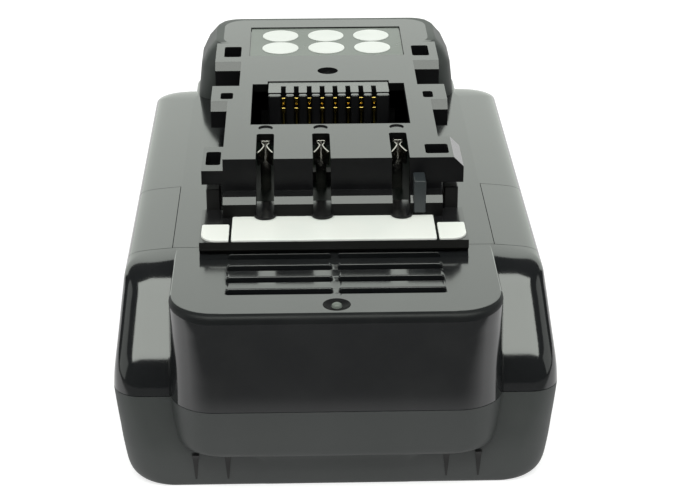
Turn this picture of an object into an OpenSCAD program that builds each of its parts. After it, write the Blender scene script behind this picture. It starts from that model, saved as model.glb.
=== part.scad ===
// Slide-on battery pack for a power tool: ten round cells in a two-shell case,
// a contact block with rail lugs on top, and a squeeze button with a latch on each side.
// X runs across the pack, Y runs from the front box to the rear hood, Z is up.
// The origin is the middle of the footprint, on the plane the pack stands on.

/* [Case] */
// Room from each cell end to the widest point of the case side
side_room = 9.9; // [9:0.1:12]
// Room from the front cell to the front face of the front box
front_room = 19.45; // [18:0.05:24]
// Room from the rear cell to the rear face
rear_room = 15.2; // [14.8:0.1:20]
// Room between the upper cells and the underside of the deck
deck_room = 0.33; // [0.3:0.01:3]
// Height of the parting line between the lower and upper shells
parting_z = 18.2; // [16:0.1:20]
// Thickness of the side walls
wall = 1.7; // [1.4:0.1:2]
// Thickness of the floor and the deck
skin = 1.5; // [1.3:0.1:1.6]
// Half width of the middle box that runs from the front face to the rear face
box_half = 31.6; // [30:0.1:33]
// Length of the straight part of the front shoulder slope, in Y
slope_len = 11; // [9:0.5:12]

/* [Contact block] */
// Height of the contact block above the deck
block_h = 13.5; // [12:0.1:16]
// Half width of the block's neck at the front
neck_half = 21.9; // [21:0.1:23]
// Half width of the block's neck behind the middle lugs
rear_neck_half = 19.6; // [19:0.1:20.5]
// Half width over the rail lugs
lug_half = 25.6; // [25:0.1:27]
// Thickness of the rail lugs
lug_t = 5.4; // [4.8:0.1:6]
// Width of the slot for each terminal
slot_w = 3.6; // [3:0.1:4]
// Pitch of the contacts in the connector
pin_pitch = 2.83; // [2.5:0.01:2.9]
// Half width of the connector well
well_half = 16.7; // [16:0.1:17.5]

/* [Release buttons] */
// Inward travel of each button
button_travel = 2; // [1:0.1:2.5]
// Length of each button
button_l = 22.2; // [18:0.2:24]
// Height of each button
button_h = 9.2; // [8:0.2:10]
// Gap round each button and at each panel joint
button_gap = 0.4; // [0.3:0.05:0.6]

/* [Cells] */
// Diameter of a cell
cell_d = 18.3; // [18:0.05:18.4]
// Length of a cell
cell_l = 65; // [64:0.1:65.4]
// Gap between two cells of a layer
cell_gap = 0.2; // [0.15:0.05:0.5]

/* [Fasteners] */
// Diameter of the case screw shanks
screw_d = 2.8; // [2:0.1:3]
// Diameter of the case screw heads
screw_head_d = 5.6; // [4.5:0.1:6]

/* [Hidden] */

$fn = 48;
eps = 0.01;
fine = 32;
charcoal = "#2b2d2e";
big = 200;
left = -1;
right = 1;

// Cells: lower layer on the floor, upper layer nested half a pitch behind it.
layer_count = 5;
floor_gap = 0.25;
cell_pitch = cell_d + cell_gap;
cell_rise = sqrt(cell_pitch * cell_pitch * 3 / 4);
cell_low_z = skin + floor_gap + cell_d / 2;
cell_high_z = cell_low_z + cell_rise;
cells_len = (layer_count - 0.5) * cell_pitch + cell_d;

// Outer reach of the case, from the cells and the room round them.
half_w = cell_l / 2 + side_room;
front_y = (front_room + cells_len + rear_room) / 2;
rear_y = front_y;
deck_z = cell_high_z + cell_d / 2 + deck_room + skin;
lower_y0 = front_room + cell_d / 2 - front_y;
upper_y0 = lower_y0 + cell_pitch / 2;

// Outline stations of the case: height, half width, front reach, rear reach, corner radius.
slope_front = front_y - 9.2;
slope_rear = rear_y - 3.6;
rear_slope_len = 6.5;
lower_stations = [
    [0, half_w - 4.4, front_y - 4.6, rear_y - 3.8, 7],
    [1.1, half_w - 2.9, front_y - 4.2, rear_y - 2.8, 7],
    [4, half_w - 1.9, front_y - 4.2, rear_y - 2.2, 6.8],
    [9, half_w - 1.2, front_y - 4.7, rear_y - 1.9, 6.3],
    [parting_z, half_w, front_y - 6.8, rear_y - 1.6, 5.4]];
upper_stations = [
    [parting_z, half_w, front_y - 6.8, rear_y - 1.6, 5.4],
    [parting_z + 3, half_w - 0.2, front_y - 7.5, rear_y - 2.1, 5.2],
    [parting_z + 5.6, half_w - 0.5, slope_front, slope_rear, 5.1],
    [deck_z - 3.25, half_w - 1.65, slope_front - slope_len, slope_rear - rear_slope_len, 5],
    [deck_z - 1.5, half_w - 2.3, slope_front - slope_len - 2.4, slope_rear - rear_slope_len - 1.6, 5],
    [deck_z - 0.7, half_w - 4.3, slope_front - slope_len - 4.1, slope_rear - rear_slope_len - 2.9, 5.3],
    [deck_z, box_half - 0.2, slope_front - slope_len - 7, slope_rear - rear_slope_len - 4.8, 6]];
box_lower_stations = [
    [7.3, box_half - 3, front_y - 1.5, rear_y - 0.6, 8],
    [parting_z, box_half, front_y, rear_y, 9]];
box_upper_stations = [
    [parting_z, box_half, front_y, rear_y, 9],
    [deck_z - 1.5, box_half - 0.45, front_y - 0.3, rear_y - 0.2, 8.8],
    [deck_z - 0.3, box_half - 0.6, front_y - 0.5, rear_y - 0.3, 8.6],
    [deck_z, box_half - 0.9, front_y - 0.95, rear_y - 0.45, 8.3]];

// Front joint of the upper shell and the nose, and the rear joint of the side panels.
nose_y = -37;
panel_rear_y = -6;
panel_z = parting_z + 2.4;
seam = 0.15;

// Gussets under the lower edge of the front box.
gusset_x = 23.4;
gusset_w = 6.2;
gusset_z = 7.6;

// End plates of the cells, on rests that stand on the floor.
strip_t = 0.3;
frame_t = 1.5;
strip_x = cell_l / 2;
frame_x = strip_x + strip_t;
frame_out = frame_x + frame_t;
frame_z0 = skin + 1.5;
frame_rest_at = [0, 2.5, 4.7];
frame_rest_w = 3;
frame_rest_lip = 0.3;

// Button and latch: the latch arm lies in the valley between the first two upper cells.
button_z = (parting_z + deck_z) / 2 - 1.05;
button_reach = wall + 1.7;
button_flange = 1.6;
flange_gap = 0.3;
latch_y = upper_y0 + cell_pitch / 2;
button_y = latch_y - 0.5;
latch_w = 5;
latch_gap = 0.4;
arm_t = 1.5;
arm_gap = 0.8;
arm_z = cell_high_z + sqrt(pow(cell_d / 2, 2) - pow((cell_pitch - latch_w) / 2, 2)) + arm_gap;
hook_x = neck_half + 0.7;
hook_t = 2.8;
hook_z = deck_z + block_h - lug_t - 1.5;
latch_wall_x = frame_out + button_travel + flange_gap;
spring_solid = 1.3;
spring_x1 = frame_out + button_travel + spring_solid;
spring_r = 2.6;
spring_wire = 0.6;

// Contact block.
block_z = deck_z + block_h;
lug_z = block_z - lug_t;
block_front = -24.6;
ledge_front = -40.6;
ledge_half = 26.2;
strip_top = deck_z + 3;
strip_h = 0.4;
ledge_z = strip_top - strip_h;
ridge_z = deck_z + 1;
ridge = 0.25;
cut_r = 0.6;
step_y = -29;
step_z = deck_z + 6.7;
step_edge = 1.2;
block_wall = 1.8;
hood_front = 47.5;
hood_half = box_half - 1.3;
neck_break_y = 18.8;
well_front = -5.3;
well_rear = 19.8;
slot_x = [-13.5, -2.1, 13.7];
slot_rear = -10.7;
slot_floor = deck_z + 3.6;

// Board, terminals and connector.
board_t = 1.6;
board_gap = 0.4;
board_half = rear_neck_half - block_wall - board_gap;
board_front = block_front + block_wall + board_gap;
board_top = deck_z + board_t;
lead_w = 4;
lead_right_y = lower_y0 + 2 * cell_pitch;
lead_left_y = lower_y0 + 4 * cell_pitch;
opening_half = 12;
opening_front = lead_right_y - 5.5;
opening_rear = lead_left_y + 3.5;
board_rear = opening_rear + 4;
connector_half = 13.2;
connector_front = well_rear - 6.9;
connector_rear = well_rear + 1.6;
connector_gap = 0.2;
connector_top = block_z - 0.2;
pin_count = 8;

// Screws.
case_screw_x = box_half - 4.1;
case_screw_y = [12.1 - front_y, rear_y - 9.1];
head_depth = 3.6;
screw_grip = 7;
head_gap = 0.6;
shank_gap = 0.4;
thread_gap = 0.2;
post_r = screw_head_d / 2 + head_gap;
block_screw_x = case_screw_x - post_r - screw_head_d / 2 - shank_gap;
block_screw_y = rear_y - 10.6;
block_post_r = screw_d / 2 + 1.6;
block_screw_l = 9;
board_screw_d = 2;
board_screw_y = opening_rear - 3;
board_screw_x = board_half - 2.8;

// A thin rounded plate at one station, drawn in by the inset.
module station(s, inset) {
    r = max(s[4] - inset, 1);
    x = s[1] - inset - r;
    for (cx = [-x, x])
        for (cy = [-(s[2] - inset - r), s[3] - inset - r])
            translate([cx, cy, s[0]])
                cylinder(h = eps, r = r, $fn = fine);
}

// One smooth form through a list of stations.
module form(stations, inset = 0, drop = 0, lift = 0) {
    last = len(stations) - 1;
    hull()
        for (i = [0:last])
            translate([0, 0, i == 0 ? lift : -drop * i / last - eps])
                station(stations[i], inset);
}

module upper_outer() {
    form(upper_stations);
    form(box_upper_stations);
}

module upper_inner() {
    form(upper_stations, wall, skin, -1);
    form(box_upper_stations, wall, skin, -1);
}

// The same form as an inner space whose last station is raised clear of the joint.
module lower_inner(stations) {
    last = len(stations) - 1;
    form([for (i = [0:last]) let (s = stations[i]) [s[0] + skin, s[1], s[2], s[3], s[4]]], wall);
}

module above_parting() {
    translate([-big, -big, parting_z])
        cube([2 * big, 2 * big, big]);
}

module upper_shell() {
    difference() {
        upper_outer();
        upper_inner();
    }
}

// Space that one side panel takes up, with a joint gap of the given size at its two ends.
module panel_space(side, gap) {
    mirror([side < 0 ? 1 : 0, 0, 0])
        translate([box_half, nose_y + gap, panel_z])
            cube([big, panel_rear_y - nose_y - 2 * gap, big]);
}

// A box centred on the button, from the end plate outwards, on one side of the pack.
module button_box(side, grow) {
    mirror([side < 0 ? 1 : 0, 0, 0])
        translate([frame_out, button_y - button_l / 2 - grow, button_z - button_h / 2 - grow])
            cube([big, button_l + 2 * grow, button_h + 2 * grow]);
}

module case_screw_places() {
    for (x = [-case_screw_x, case_screw_x])
        for (y = case_screw_y)
            translate([x, y, 0])
                children();
}

module lower_case() {
    color(charcoal)
        difference() {
            union() {
                difference() {
                    union() {
                        form(lower_stations);
                        form(box_lower_stations);
                        for (x = [-gusset_x, gusset_x])
                            translate([x - gusset_w / 2, -front_y, 0])
                                rotate([90, 0, 90])
                                    linear_extrude(gusset_w)
                                        polygon([[1.7, gusset_z], [8, gusset_z], [8, 1], [5, 1]]);
                    }
                    lower_inner(lower_stations);
                    lower_inner(box_lower_stations);
                }
                case_screw_places()
                    translate([0, 0, skin - eps])
                        cylinder(h = parting_z - skin + eps, r = post_r);
                for (x = [-frame_out - frame_rest_lip, frame_x])
                    for (at = frame_rest_at)
                        translate([x, lower_y0 + at * cell_pitch - frame_rest_w / 2, skin / 2])
                            cube([frame_t + frame_rest_lip, frame_rest_w, frame_z0 - skin / 2]);
            }
            case_screw_places() {
                translate([0, 0, -1])
                    cylinder(h = head_depth + 1, d = screw_head_d + head_gap);
                cylinder(h = big, d = screw_d + shank_gap);
            }
            above_parting();
        }
}

// Posts that take the case screws, from the parting line up into the skin of the box.
module upper_posts(y) {
    difference() {
        intersection() {
            form(box_upper_stations, wall / 2, skin / 2);
            for (x = [-case_screw_x, case_screw_x])
                translate([x, y, parting_z])
                    cylinder(h = big, r = post_r);
        }
        for (x = [-case_screw_x, case_screw_x])
            translate([x, y, parting_z - 1])
                cylinder(h = screw_grip + 3, d = screw_d + thread_gap);
    }
}

module upper_case() {
    color(charcoal) {
        difference() {
            upper_shell();
            translate([-big, -big, 0])
                cube([2 * big, big + nose_y + seam / 2, big]);
            for (side = [left, right])
                panel_space(side, 0);
            translate([-opening_half, opening_front, deck_z - 5])
                cube([2 * opening_half, opening_rear - opening_front, 10]);
            for (side = [left, right])
                mirror([side < 0 ? 1 : 0, 0, 0])
                    translate([hook_x - button_travel - latch_gap, latch_y - latch_w / 2 - latch_gap,
                        deck_z - 5])
                        cube([hook_t + button_travel + 2 * latch_gap, latch_w + 2 * latch_gap, 10]);
            for (x = [-block_screw_x, block_screw_x])
                translate([x, block_screw_y, deck_z - 5])
                    cylinder(h = 10, d = screw_d + shank_gap);
            for (x = [-board_screw_x, board_screw_x])
                translate([x, board_screw_y, deck_z - 5])
                    cylinder(h = 10, d = board_screw_d + thread_gap);
        }
        upper_posts(case_screw_y[1]);
    }
}

// Louvre slots in the nose, on either side of the middle rib.
vent_half = 20.5;
vent_rib = 1.4;
vent_pitch = 5.2;
vent_slot = 1.9;
vent_y0 = -41.6;
vent_count = 4;
dimple_r = 1.9;
dimple_depth = 0.3;

module nose_cap() {
    color(charcoal) {
        difference() {
            upper_shell();
            translate([-big, nose_y - seam / 2, 0])
                cube([2 * big, big, big]);
            for (i = [0:vent_count - 1])
                for (side = [left, right])
                    mirror([side < 0 ? 1 : 0, 0, 0])
                        translate([vent_rib / 2, vent_y0 - i * vent_pitch - vent_slot / 2, deck_z - 5])
                            cube([vent_half - vent_rib / 2, vent_slot, 10]);
            translate([0, vent_y0 - vent_count * vent_pitch + 2, deck_z - dimple_depth])
                cylinder(h = 2, r = dimple_r);
        }
        upper_posts(case_screw_y[0]);
    }
}

module panel(side) {
    color(charcoal)
        difference() {
            intersection() {
                upper_shell();
                panel_space(side, seam);
            }
            button_box(side, button_gap);
        }
}

module panel_left() {
    panel(left);
}

module panel_right() {
    panel(right);
}

// A button: a pad flush with the wall and a retaining flange behind it.
module release_button(side) {
    color("#1c1d1e")
        difference() {
            union() {
                intersection() {
                    form(upper_stations);
                    button_box(side, 0);
                }
                intersection() {
                    form(upper_stations, wall + flange_gap, skin, -1);
                    button_box(side, button_flange);
                }
            }
            form(upper_stations, button_reach);
        }
    color("#1c1d1e")
        translate([side * spring_x1, button_y, button_z])
            rotate([0, side * 90, 0])
                cylinder(h = half_w - wall - 0.9 - spring_x1, r = spring_r);
}

module release_button_left() {
    release_button(left);
}

module release_button_right() {
    release_button(right);
}

// A latch: a plate on the button's inner face, an arm over the cells and a hook beside the neck.
module latch(side) {
    y0 = latch_y - latch_w / 2;
    color("#3a3c3e")
        mirror([side < 0 ? 1 : 0, 0, 0]) {
            intersection() {
                form(upper_stations, button_reach);
                translate([latch_wall_x, y0, button_z + spring_r + latch_gap])
                    cube([big, latch_w, arm_z + arm_t - button_z - spring_r - latch_gap]);
            }
            translate([hook_x, y0, arm_z])
                cube([latch_wall_x - hook_x + eps, latch_w, arm_t]);
            translate([hook_x, y0, arm_z])
                cube([hook_t, latch_w, hook_z - arm_z]);
        }
}

module latch_left() {
    latch(left);
}

module latch_right() {
    latch(right);
}

module button_spring(side) {
    color("silver")
        translate([side * frame_out, button_y, button_z])
            rotate([0, side * 90, 0])
                difference() {
                    cylinder(h = spring_x1 - frame_out, r = spring_r);
                    translate([0, 0, -1])
                        cylinder(h = big, r = spring_r - spring_wire);
                }
}

module button_spring_left() {
    button_spring(left);
}

module button_spring_right() {
    button_spring(right);
}

// Rail lugs: side, front and rear ends, outer reach, top height and length of the sloped lead-in.
mid_lug_front = 7.3;
rear_lug_front = 33.7;
mid_lead = 1.9;
rear_lead = 1.5;
front_reach = lug_half + 0.7;
front_chamfer = 2;
front_lug_len = 11.4;
rear_reach = lug_half - 0.1;
low_lug_top = block_z - 2.45;
low_lug_len = 13.1;
lugs = [
    [left, block_front, block_front + low_lug_len, front_reach - 0.1, low_lug_top, 0],
    [right, block_front, block_front + front_lug_len, front_reach, block_z, 0],
    [left, mid_lug_front, neck_break_y, rear_reach, block_z, mid_lead],
    [right, mid_lug_front, neck_break_y, rear_reach, block_z, mid_lead],
    [left, rear_lug_front, hood_front + 1, rear_reach, block_z, rear_lead],
    [right, rear_lug_front, hood_front + 1, rear_reach, block_z, rear_lead]];
// Square windows in the lugs: side, inner and outer reach, front and rear ends.
mid_window_y = [mid_lug_front + 3.1, mid_lug_front + 7];
rear_window_y = [rear_lug_front + 4.8, hood_front - 1.7];
rear_window_x = [rear_neck_half + 0.1, rear_neck_half + 4];
windows = [
    [left, neck_half + 0.6, lug_half - 0.1, block_front + 3.1, block_front + 10.3],
    [right, neck_half - 3.1, neck_half + 1.6, block_front + 2.2, block_front + 7.3],
    [left, neck_half - 1.1, neck_half + 1.6, mid_window_y[0], mid_window_y[1]],
    [right, neck_half - 1.5, neck_half + 0.7, mid_window_y[0], mid_window_y[1]],
    [left, rear_window_x[0], rear_window_x[1], rear_window_y[0], rear_window_y[1]],
    [right, rear_window_x[0], rear_window_x[1], rear_window_y[0], rear_window_y[1]]];

module lug(s) {
    lead_drop = 1.7;
    mirror([s[0] < 0 ? 1 : 0, 0, 0])
        translate([rear_neck_half - 1, 0, 0])
            rotate([90, 0, 90])
                linear_extrude(s[3] - rear_neck_half + 1)
                    polygon([[s[1], lug_z], [s[2], lug_z], [s[2], s[4]], [s[1] + s[5], s[4]],
                        [s[1], s[4] - (s[5] > 0 ? lead_drop : 0)]]);
}

// Round lip at the front end of each terminal slot.
lobe_gap = 0.1;
lobe_rim = 0.8;

hood_stations = [
    [deck_z, hood_half, -hood_front, rear_y - 0.6, 4],
    [block_z - 6, hood_half - 0.8, -hood_front, rear_y - 0.2, 5],
    [block_z - 2.6, hood_half - 2.4, -hood_front, rear_y, 5.5],
    [block_z - 0.8, hood_half - 4.4, -hood_front, rear_y - 0.7, 5.5],
    [block_z, hood_half - 6.2, -hood_front, rear_y - 2, 5]];

module block_body() {
    translate([-neck_half, block_front, deck_z])
        cube([2 * neck_half, neck_break_y - block_front, block_z - deck_z]);
    translate([-rear_neck_half, neck_break_y - 1, deck_z])
        cube([2 * rear_neck_half, hood_front - neck_break_y + 3, block_z - deck_z]);
    translate([-ledge_half, ledge_front, deck_z])
        cube([2 * ledge_half, block_front - ledge_front, ledge_z - deck_z]);
    translate([-ledge_half, ledge_front - ridge, ridge_z])
        cube([2 * ledge_half, ridge + eps, ridge]);
    for (x = slot_x)
        translate([x, step_y, strip_top + lobe_gap])
            cylinder(h = slot_floor - strip_top - lobe_gap, d = slot_w + lobe_rim);
    translate([-neck_half, 0, 0])
        rotate([90, 0, 90])
            linear_extrude(2 * neck_half)
                polygon([[step_y, deck_z], [block_front + 1, deck_z], [block_front + 1, step_z],
                    [step_y + step_edge, step_z], [step_y, step_z - step_edge]]);
    for (s = lugs)
        lug(s);
    form(hood_stations);
}

// An upright cut with rounded corners, from z0 up.
module soft_cut(x0, x1, y0, y1, z0) {
    translate([x0, y0 + cut_r, z0])
        cube([x1 - x0, y1 - y0 - 2 * cut_r, big]);
    translate([x0 + cut_r, y0, z0])
        cube([x1 - x0 - 2 * cut_r, y1 - y0, big]);
    for (x = [x0 + cut_r, x1 - cut_r])
        for (y = [y0 + cut_r, y1 - cut_r])
            translate([x, y, z0])
                cylinder(h = big, r = cut_r, $fn = fine / 2);
}

module block_hollow() {
    roof = block_z - block_wall;
    translate([block_wall - neck_half, block_front + block_wall, deck_z - 1])
        cube([2 * (neck_half - block_wall), neck_break_y - block_front - 2 * block_wall,
            roof - deck_z + 1]);
    translate([block_wall - rear_neck_half, 0, deck_z - 1])
        cube([2 * (rear_neck_half - block_wall), hood_front + 4, roof - deck_z + 1]);
    form(hood_stations, 2, block_wall, -1);
}

label_half = 17.8;
label_front = 39.1;
label_rear = 60.3;
label_depth = 0.5;
label_t = 0.25;
label_gap = 0.2;
mark_r = 1.5;
mark_y = slot_rear + 3.4;
hood_dimple_y = 28.4;
hood_dimple_r = 2.3;

module contact_block() {
    color("#34373a") {
        difference() {
            block_body();
            block_hollow();
            for (x = slot_x)
                soft_cut(x - slot_w / 2, x + slot_w / 2, step_y - 1, slot_rear, slot_floor);
            for (x = slot_x)
                translate([x, mark_y, block_z - dimple_depth])
                    cylinder(h = 2, r = mark_r);
            translate([-well_half, well_front, deck_z])
                cube([2 * well_half, well_rear - well_front, big]);
            translate([-connector_half - connector_gap, well_rear - 1, deck_z])
                cube([2 * (connector_half + connector_gap),
                    connector_rear + connector_gap - well_rear + 1, big]);
            for (w = windows)
                mirror([w[0] < 0 ? 1 : 0, 0, 0])
                    soft_cut(w[1], w[2], w[3], w[4], lug_z - 1);
            translate([front_reach - front_chamfer, block_front - 1, block_z])
                rotate([0, 45, 0])
                    cube([2 * front_chamfer, front_lug_len + 1.1, 2 * front_chamfer]);
            translate([0, hood_dimple_y, block_z - 1])
                cylinder(h = 2, r = hood_dimple_r);
            translate([-label_half, label_front, block_z - label_depth])
                cube([2 * label_half, label_rear - label_front, 2]);
            for (side = [left, right])
                mirror([side < 0 ? 1 : 0, 0, 0])
                    translate([hook_x - button_travel - latch_gap, latch_y - latch_w / 2 - latch_gap,
                        deck_z - 1])
                        cube([button_travel + latch_gap + 0.1, latch_w + 2 * latch_gap,
                            hook_z - deck_z + 1.5]);
        }
        for (x = [-block_screw_x, block_screw_x])
            translate([x, block_screw_y, deck_z])
                difference() {
                    cylinder(h = block_z - deck_z - 1, r = block_post_r);
                    translate([0, 0, -1])
                        cylinder(h = block_screw_l + 1, d = screw_d + thread_gap);
                }
    }
}

// Low-friction strip on the front ledge: a bar, and a pad with a round corner before each rail groove.
module slide_strip() {
    bar_half = neck_half - 1.9;
    pad_l = 7.7;
    pad_r = 3;
    strip_inset = 0.15;
    strip_front = ledge_front + strip_inset;
    pad_out = ledge_half - 0.3;
    pad_in = bar_half + 0.5;
    color("#f0f2ec") {
        translate([-bar_half, strip_front, ledge_z])
            cube([2 * bar_half, step_y - strip_front, strip_h]);
        for (side = [left, right])
            mirror([side < 0 ? 1 : 0, 0, 0])
                translate([0, strip_front, ledge_z])
                    hull() {
                        translate([pad_out - pad_r, pad_r, 0])
                            cylinder(h = strip_h, r = pad_r);
                        translate([pad_in, 0, 0])
                            cube([1, pad_l, strip_h]);
                        translate([pad_out - 1, pad_l - 1, 0])
                            cube([1, 1, strip_h]);
                    }
    }
}

// Coding post: it stands on the step, against the block's front, and hangs over the step's edge.
post_w = 2.4;
post_top = block_z - 3.1;
post_low = strip_top + 0.6;
post_over = 0.6;
post_x = neck_half - 5.8;

module coding_post() {
    color("#4a5052") {
        translate([post_x, step_y - post_over, step_z])
            cube([post_w, block_front - step_y + post_over, post_top - step_z]);
        translate([post_x, step_y - post_over, post_low])
            cube([post_w, post_over, post_top - post_low]);
    }
}

module label_plate() {
    color("#8a928c")
        translate([label_gap - label_half, label_front + label_gap, block_z - label_depth])
            cube([2 * (label_half - label_gap), label_rear - label_front - 2 * label_gap, label_t]);
}

disc_r = 4.2;
disc_pitch = 10.7;
disc_t = 0.12;
disc_row = 9;
label_y = (label_front + label_rear) / 2;
disc_y = [label_y - disc_row / 2, label_y + disc_row / 2];

module label_discs() {
    color("#f4f6f2")
        for (x = [-disc_pitch, 0, disc_pitch])
            for (y = disc_y)
                translate([x, y, block_z - label_depth + label_t])
                    cylinder(h = disc_t, r = disc_r);
}

module circuit_board() {
    color("#20492f")
        difference() {
            translate([-board_half, board_front, deck_z])
                cube([2 * board_half, board_rear - board_front, board_t]);
            for (x = [-board_screw_x, board_screw_x])
                translate([x, board_screw_y, deck_z - 1])
                    cylinder(h = board_t + 2, d = board_screw_d + thread_gap);
        }
}

// A fork terminal: a foot on the board and two leaves that pinch and then flare to the front.
module terminal(x) {
    leaf_t = 0.35;
    leaf_h = block_z - 1.1 - board_top;
    leaf_w = 3.6;
    foot_gap = 0.3;
    foot_t = 0.9;
    rear = slot_rear - foot_gap - foot_t;
    pinch = rear - 2.8;
    tip = rear - 6.6;
    nip = 0.1;
    flare = slot_w / 2 - 0.5;
    root = slot_w / 2 - 1.1;
    color("#d8d8d2")
        translate([x, 0, board_top]) {
            translate([-root - leaf_t, rear, 0])
                cube([2 * (root + leaf_t), foot_t, leaf_h]);
            for (side = [left, right])
                mirror([side < 0 ? 1 : 0, 0, 0])
                    translate([0, 0, leaf_h - leaf_w])
                        linear_extrude(leaf_w)
                            polygon([[root, rear + eps], [nip, pinch], [flare, tip], [flare + leaf_t, tip],
                                [nip + leaf_t, pinch], [root + leaf_t, rear + eps]]);
        }
}

module terminal_positive() {
    terminal(slot_x[0]);
}

module terminal_signal() {
    terminal(slot_x[1]);
}

module terminal_negative() {
    terminal(slot_x[2]);
}

// X place of contact number i in a row.
function pin_x(i) = (i - (pin_count - 1) / 2) * pin_pitch;
pin_slot_w = 1.5;
pin_slot_l = 5.7;
pin_w = 0.7;
pin_t = 0.6;
pin_gap = 0.3;
pin_rise = 2;
pin_base = board_top + pin_rise;
rear_pin_drop = 1.3;
front_pin_drop = 3;
rear_pin_y = 1.6;

module connector_housing() {
    color("#5a5f5c")
        difference() {
            translate([-connector_half, connector_front, board_top])
                cube([2 * connector_half, connector_rear - connector_front, connector_top - board_top]);
            for (i = [0:pin_count - 1])
                translate([pin_x(i) - pin_slot_w / 2, connector_front - 1, pin_base])
                    cube([pin_slot_w, pin_slot_l + 1, big]);
        }
}

// Two rows of contacts, the front row lower than the rear row.
module connector_contacts() {
    color("#d8b440")
        for (i = [0:pin_count - 1])
            translate([pin_x(i) - pin_w / 2, connector_front + pin_gap, pin_base]) {
                translate([0, rear_pin_y, 0])
                    cube([pin_w, pin_t, connector_top - pin_base - rear_pin_drop]);
                cube([pin_w, pin_t, connector_top - pin_base - front_pin_drop]);
            }
}

chip_size = [10, 10, 1.4];
switch_size = [6.6, 9, 4.4];
fuse_size = [12, 2.6, 2.2];

module controller_chip() {
    color("#161616")
        translate([-chip_size[0] / 2, board_screw_y - chip_size[1], board_top])
            cube(chip_size);
}

module power_switches() {
    color("#1a1a1c")
        for (x = [-board_screw_x - 0.4, board_screw_x + 0.4 - switch_size[0]])
            translate([x, board_screw_y - switch_size[1] - 2.5, board_top])
                cube(switch_size);
}

module thermal_fuse() {
    color("#b9a68a")
        translate([-fuse_size[0] / 2, well_front - fuse_size[1] - 0.1, board_top])
            cube(fuse_size);
}

module cell(y, z) {
    cap_h = 1.2;
    color("#3a6ea5")
        translate([-cell_l / 2, y, z])
            rotate([0, 90, 0]) {
                cylinder(h = cell_l - cap_h, d = cell_d);
                cylinder(h = cell_l, d = cell_d / 2);
            }
}

module cell_lower_1() {
    cell(lower_y0, cell_low_z);
}

module cell_lower_2() {
    cell(lower_y0 + cell_pitch, cell_low_z);
}

module cell_lower_3() {
    cell(lower_y0 + 2 * cell_pitch, cell_low_z);
}

module cell_lower_4() {
    cell(lower_y0 + 3 * cell_pitch, cell_low_z);
}

module cell_lower_5() {
    cell(lower_y0 + 4 * cell_pitch, cell_low_z);
}

module cell_upper_1() {
    cell(upper_y0, cell_high_z);
}

module cell_upper_2() {
    cell(upper_y0 + cell_pitch, cell_high_z);
}

module cell_upper_3() {
    cell(upper_y0 + 2 * cell_pitch, cell_high_z);
}

module cell_upper_4() {
    cell(upper_y0 + 3 * cell_pitch, cell_high_z);
}

module cell_upper_5() {
    cell(upper_y0 + 4 * cell_pitch, cell_high_z);
}

// End plate that clamps the link strips onto the cells and stands on the lower shell's rests.
frame_top = arm_z - latch_gap;
frame_front = lower_y0 - cell_d / 2 - 0.35;
frame_rear = upper_y0 + 4 * cell_pitch + cell_d / 2 + 0.6;
frame_slope_z = cell_high_z - 6.9;
frame_slope_y = upper_y0 - cell_d / 2 + 0.9;
frame_corner_z = cell_high_z + 1.1;
frame_corner_y = frame_rear - 2.5;

module cell_frame(side) {
    window_r = cell_d / 2 - 4.15;
    color("#262626")
        translate([side < 0 ? -frame_out : frame_x, 0, 0])
            difference() {
                rotate([90, 0, 90])
                    linear_extrude(frame_t)
                        polygon([[frame_front, frame_z0], [frame_front, frame_slope_z],
                            [frame_slope_y, frame_top], [frame_corner_y, frame_top],
                            [frame_rear, frame_corner_z], [frame_rear, frame_z0]]);
                for (i = [0:layer_count - 1])
                    translate([-1, lower_y0 + i * cell_pitch, cell_low_z])
                        rotate([0, 90, 0])
                            cylinder(h = frame_t + 2, r = window_r);
            }
}

module cell_frame_left() {
    cell_frame(left);
}

module cell_frame_right() {
    cell_frame(right);
}

lead_z = arm_z + 0.6;
lead_t = 0.5;

// A strip that links a lower cell to an upper cell that stands dy behind it.
module link(y, dy) {
    strip_w = 8;
    over = 8;
    len_yz = sqrt(dy * dy + cell_rise * cell_rise);
    translate([0, y + dy / 2, cell_low_z + cell_rise / 2])
        rotate([-atan2(dy, cell_rise), 0, 0])
            translate([0, -strip_w / 2, -(len_yz + over) / 2])
                cube([strip_t, strip_w, len_yz + over]);
}

module tab(y) {
    translate([0, y - lead_w / 2, cell_low_z])
        cube([strip_t, lead_w, lead_z + lead_t - cell_low_z]);
}

module link_strips_left() {
    color("silver")
        translate([-frame_x, 0, 0]) {
            for (i = [1:layer_count - 1])
                link(lower_y0 + i * cell_pitch, -cell_pitch / 2);
            tab(lead_left_y);
        }
}

module link_strips_right() {
    color("silver")
        translate([strip_x, 0, 0]) {
            for (i = [0:layer_count - 1])
                link(lower_y0 + i * cell_pitch, cell_pitch / 2);
            tab(lead_right_y);
        }
}

// Flat lead from a strip's tab, over the cells and up to the board.
module lead(side, y) {
    rise_x = opening_half - 1.5;
    color("#c9c9c9")
        mirror([side < 0 ? 1 : 0, 0, 0]) {
            translate([rise_x, y - lead_w / 2, lead_z])
                cube([strip_x - rise_x, lead_w, lead_t]);
            translate([rise_x, y - lead_w / 2, lead_z])
                cube([lead_t, lead_w, deck_z - lead_z]);
        }
}

module lead_positive() {
    lead(right, lead_right_y);
}

module lead_negative() {
    lead(left, lead_left_y);
}

bead_h = 4;
bead_r = 1.2;

module thermistor() {
    color("#111111")
        translate([0, lower_y0 + 3 * cell_pitch, deck_z - bead_h])
            cylinder(h = bead_h, r = bead_r);
}

module screw(head_h, head_d, shank_d, shank_h) {
    cylinder(h = head_h, d = head_d);
    cylinder(h = head_h + shank_h, d = shank_d);
}

module case_screws() {
    head_h = 2.4;
    color("dimgray")
        case_screw_places()
            translate([0, 0, head_depth - head_h])
                screw(head_h, screw_head_d, screw_d, parting_z + screw_grip - head_depth);
}

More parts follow.
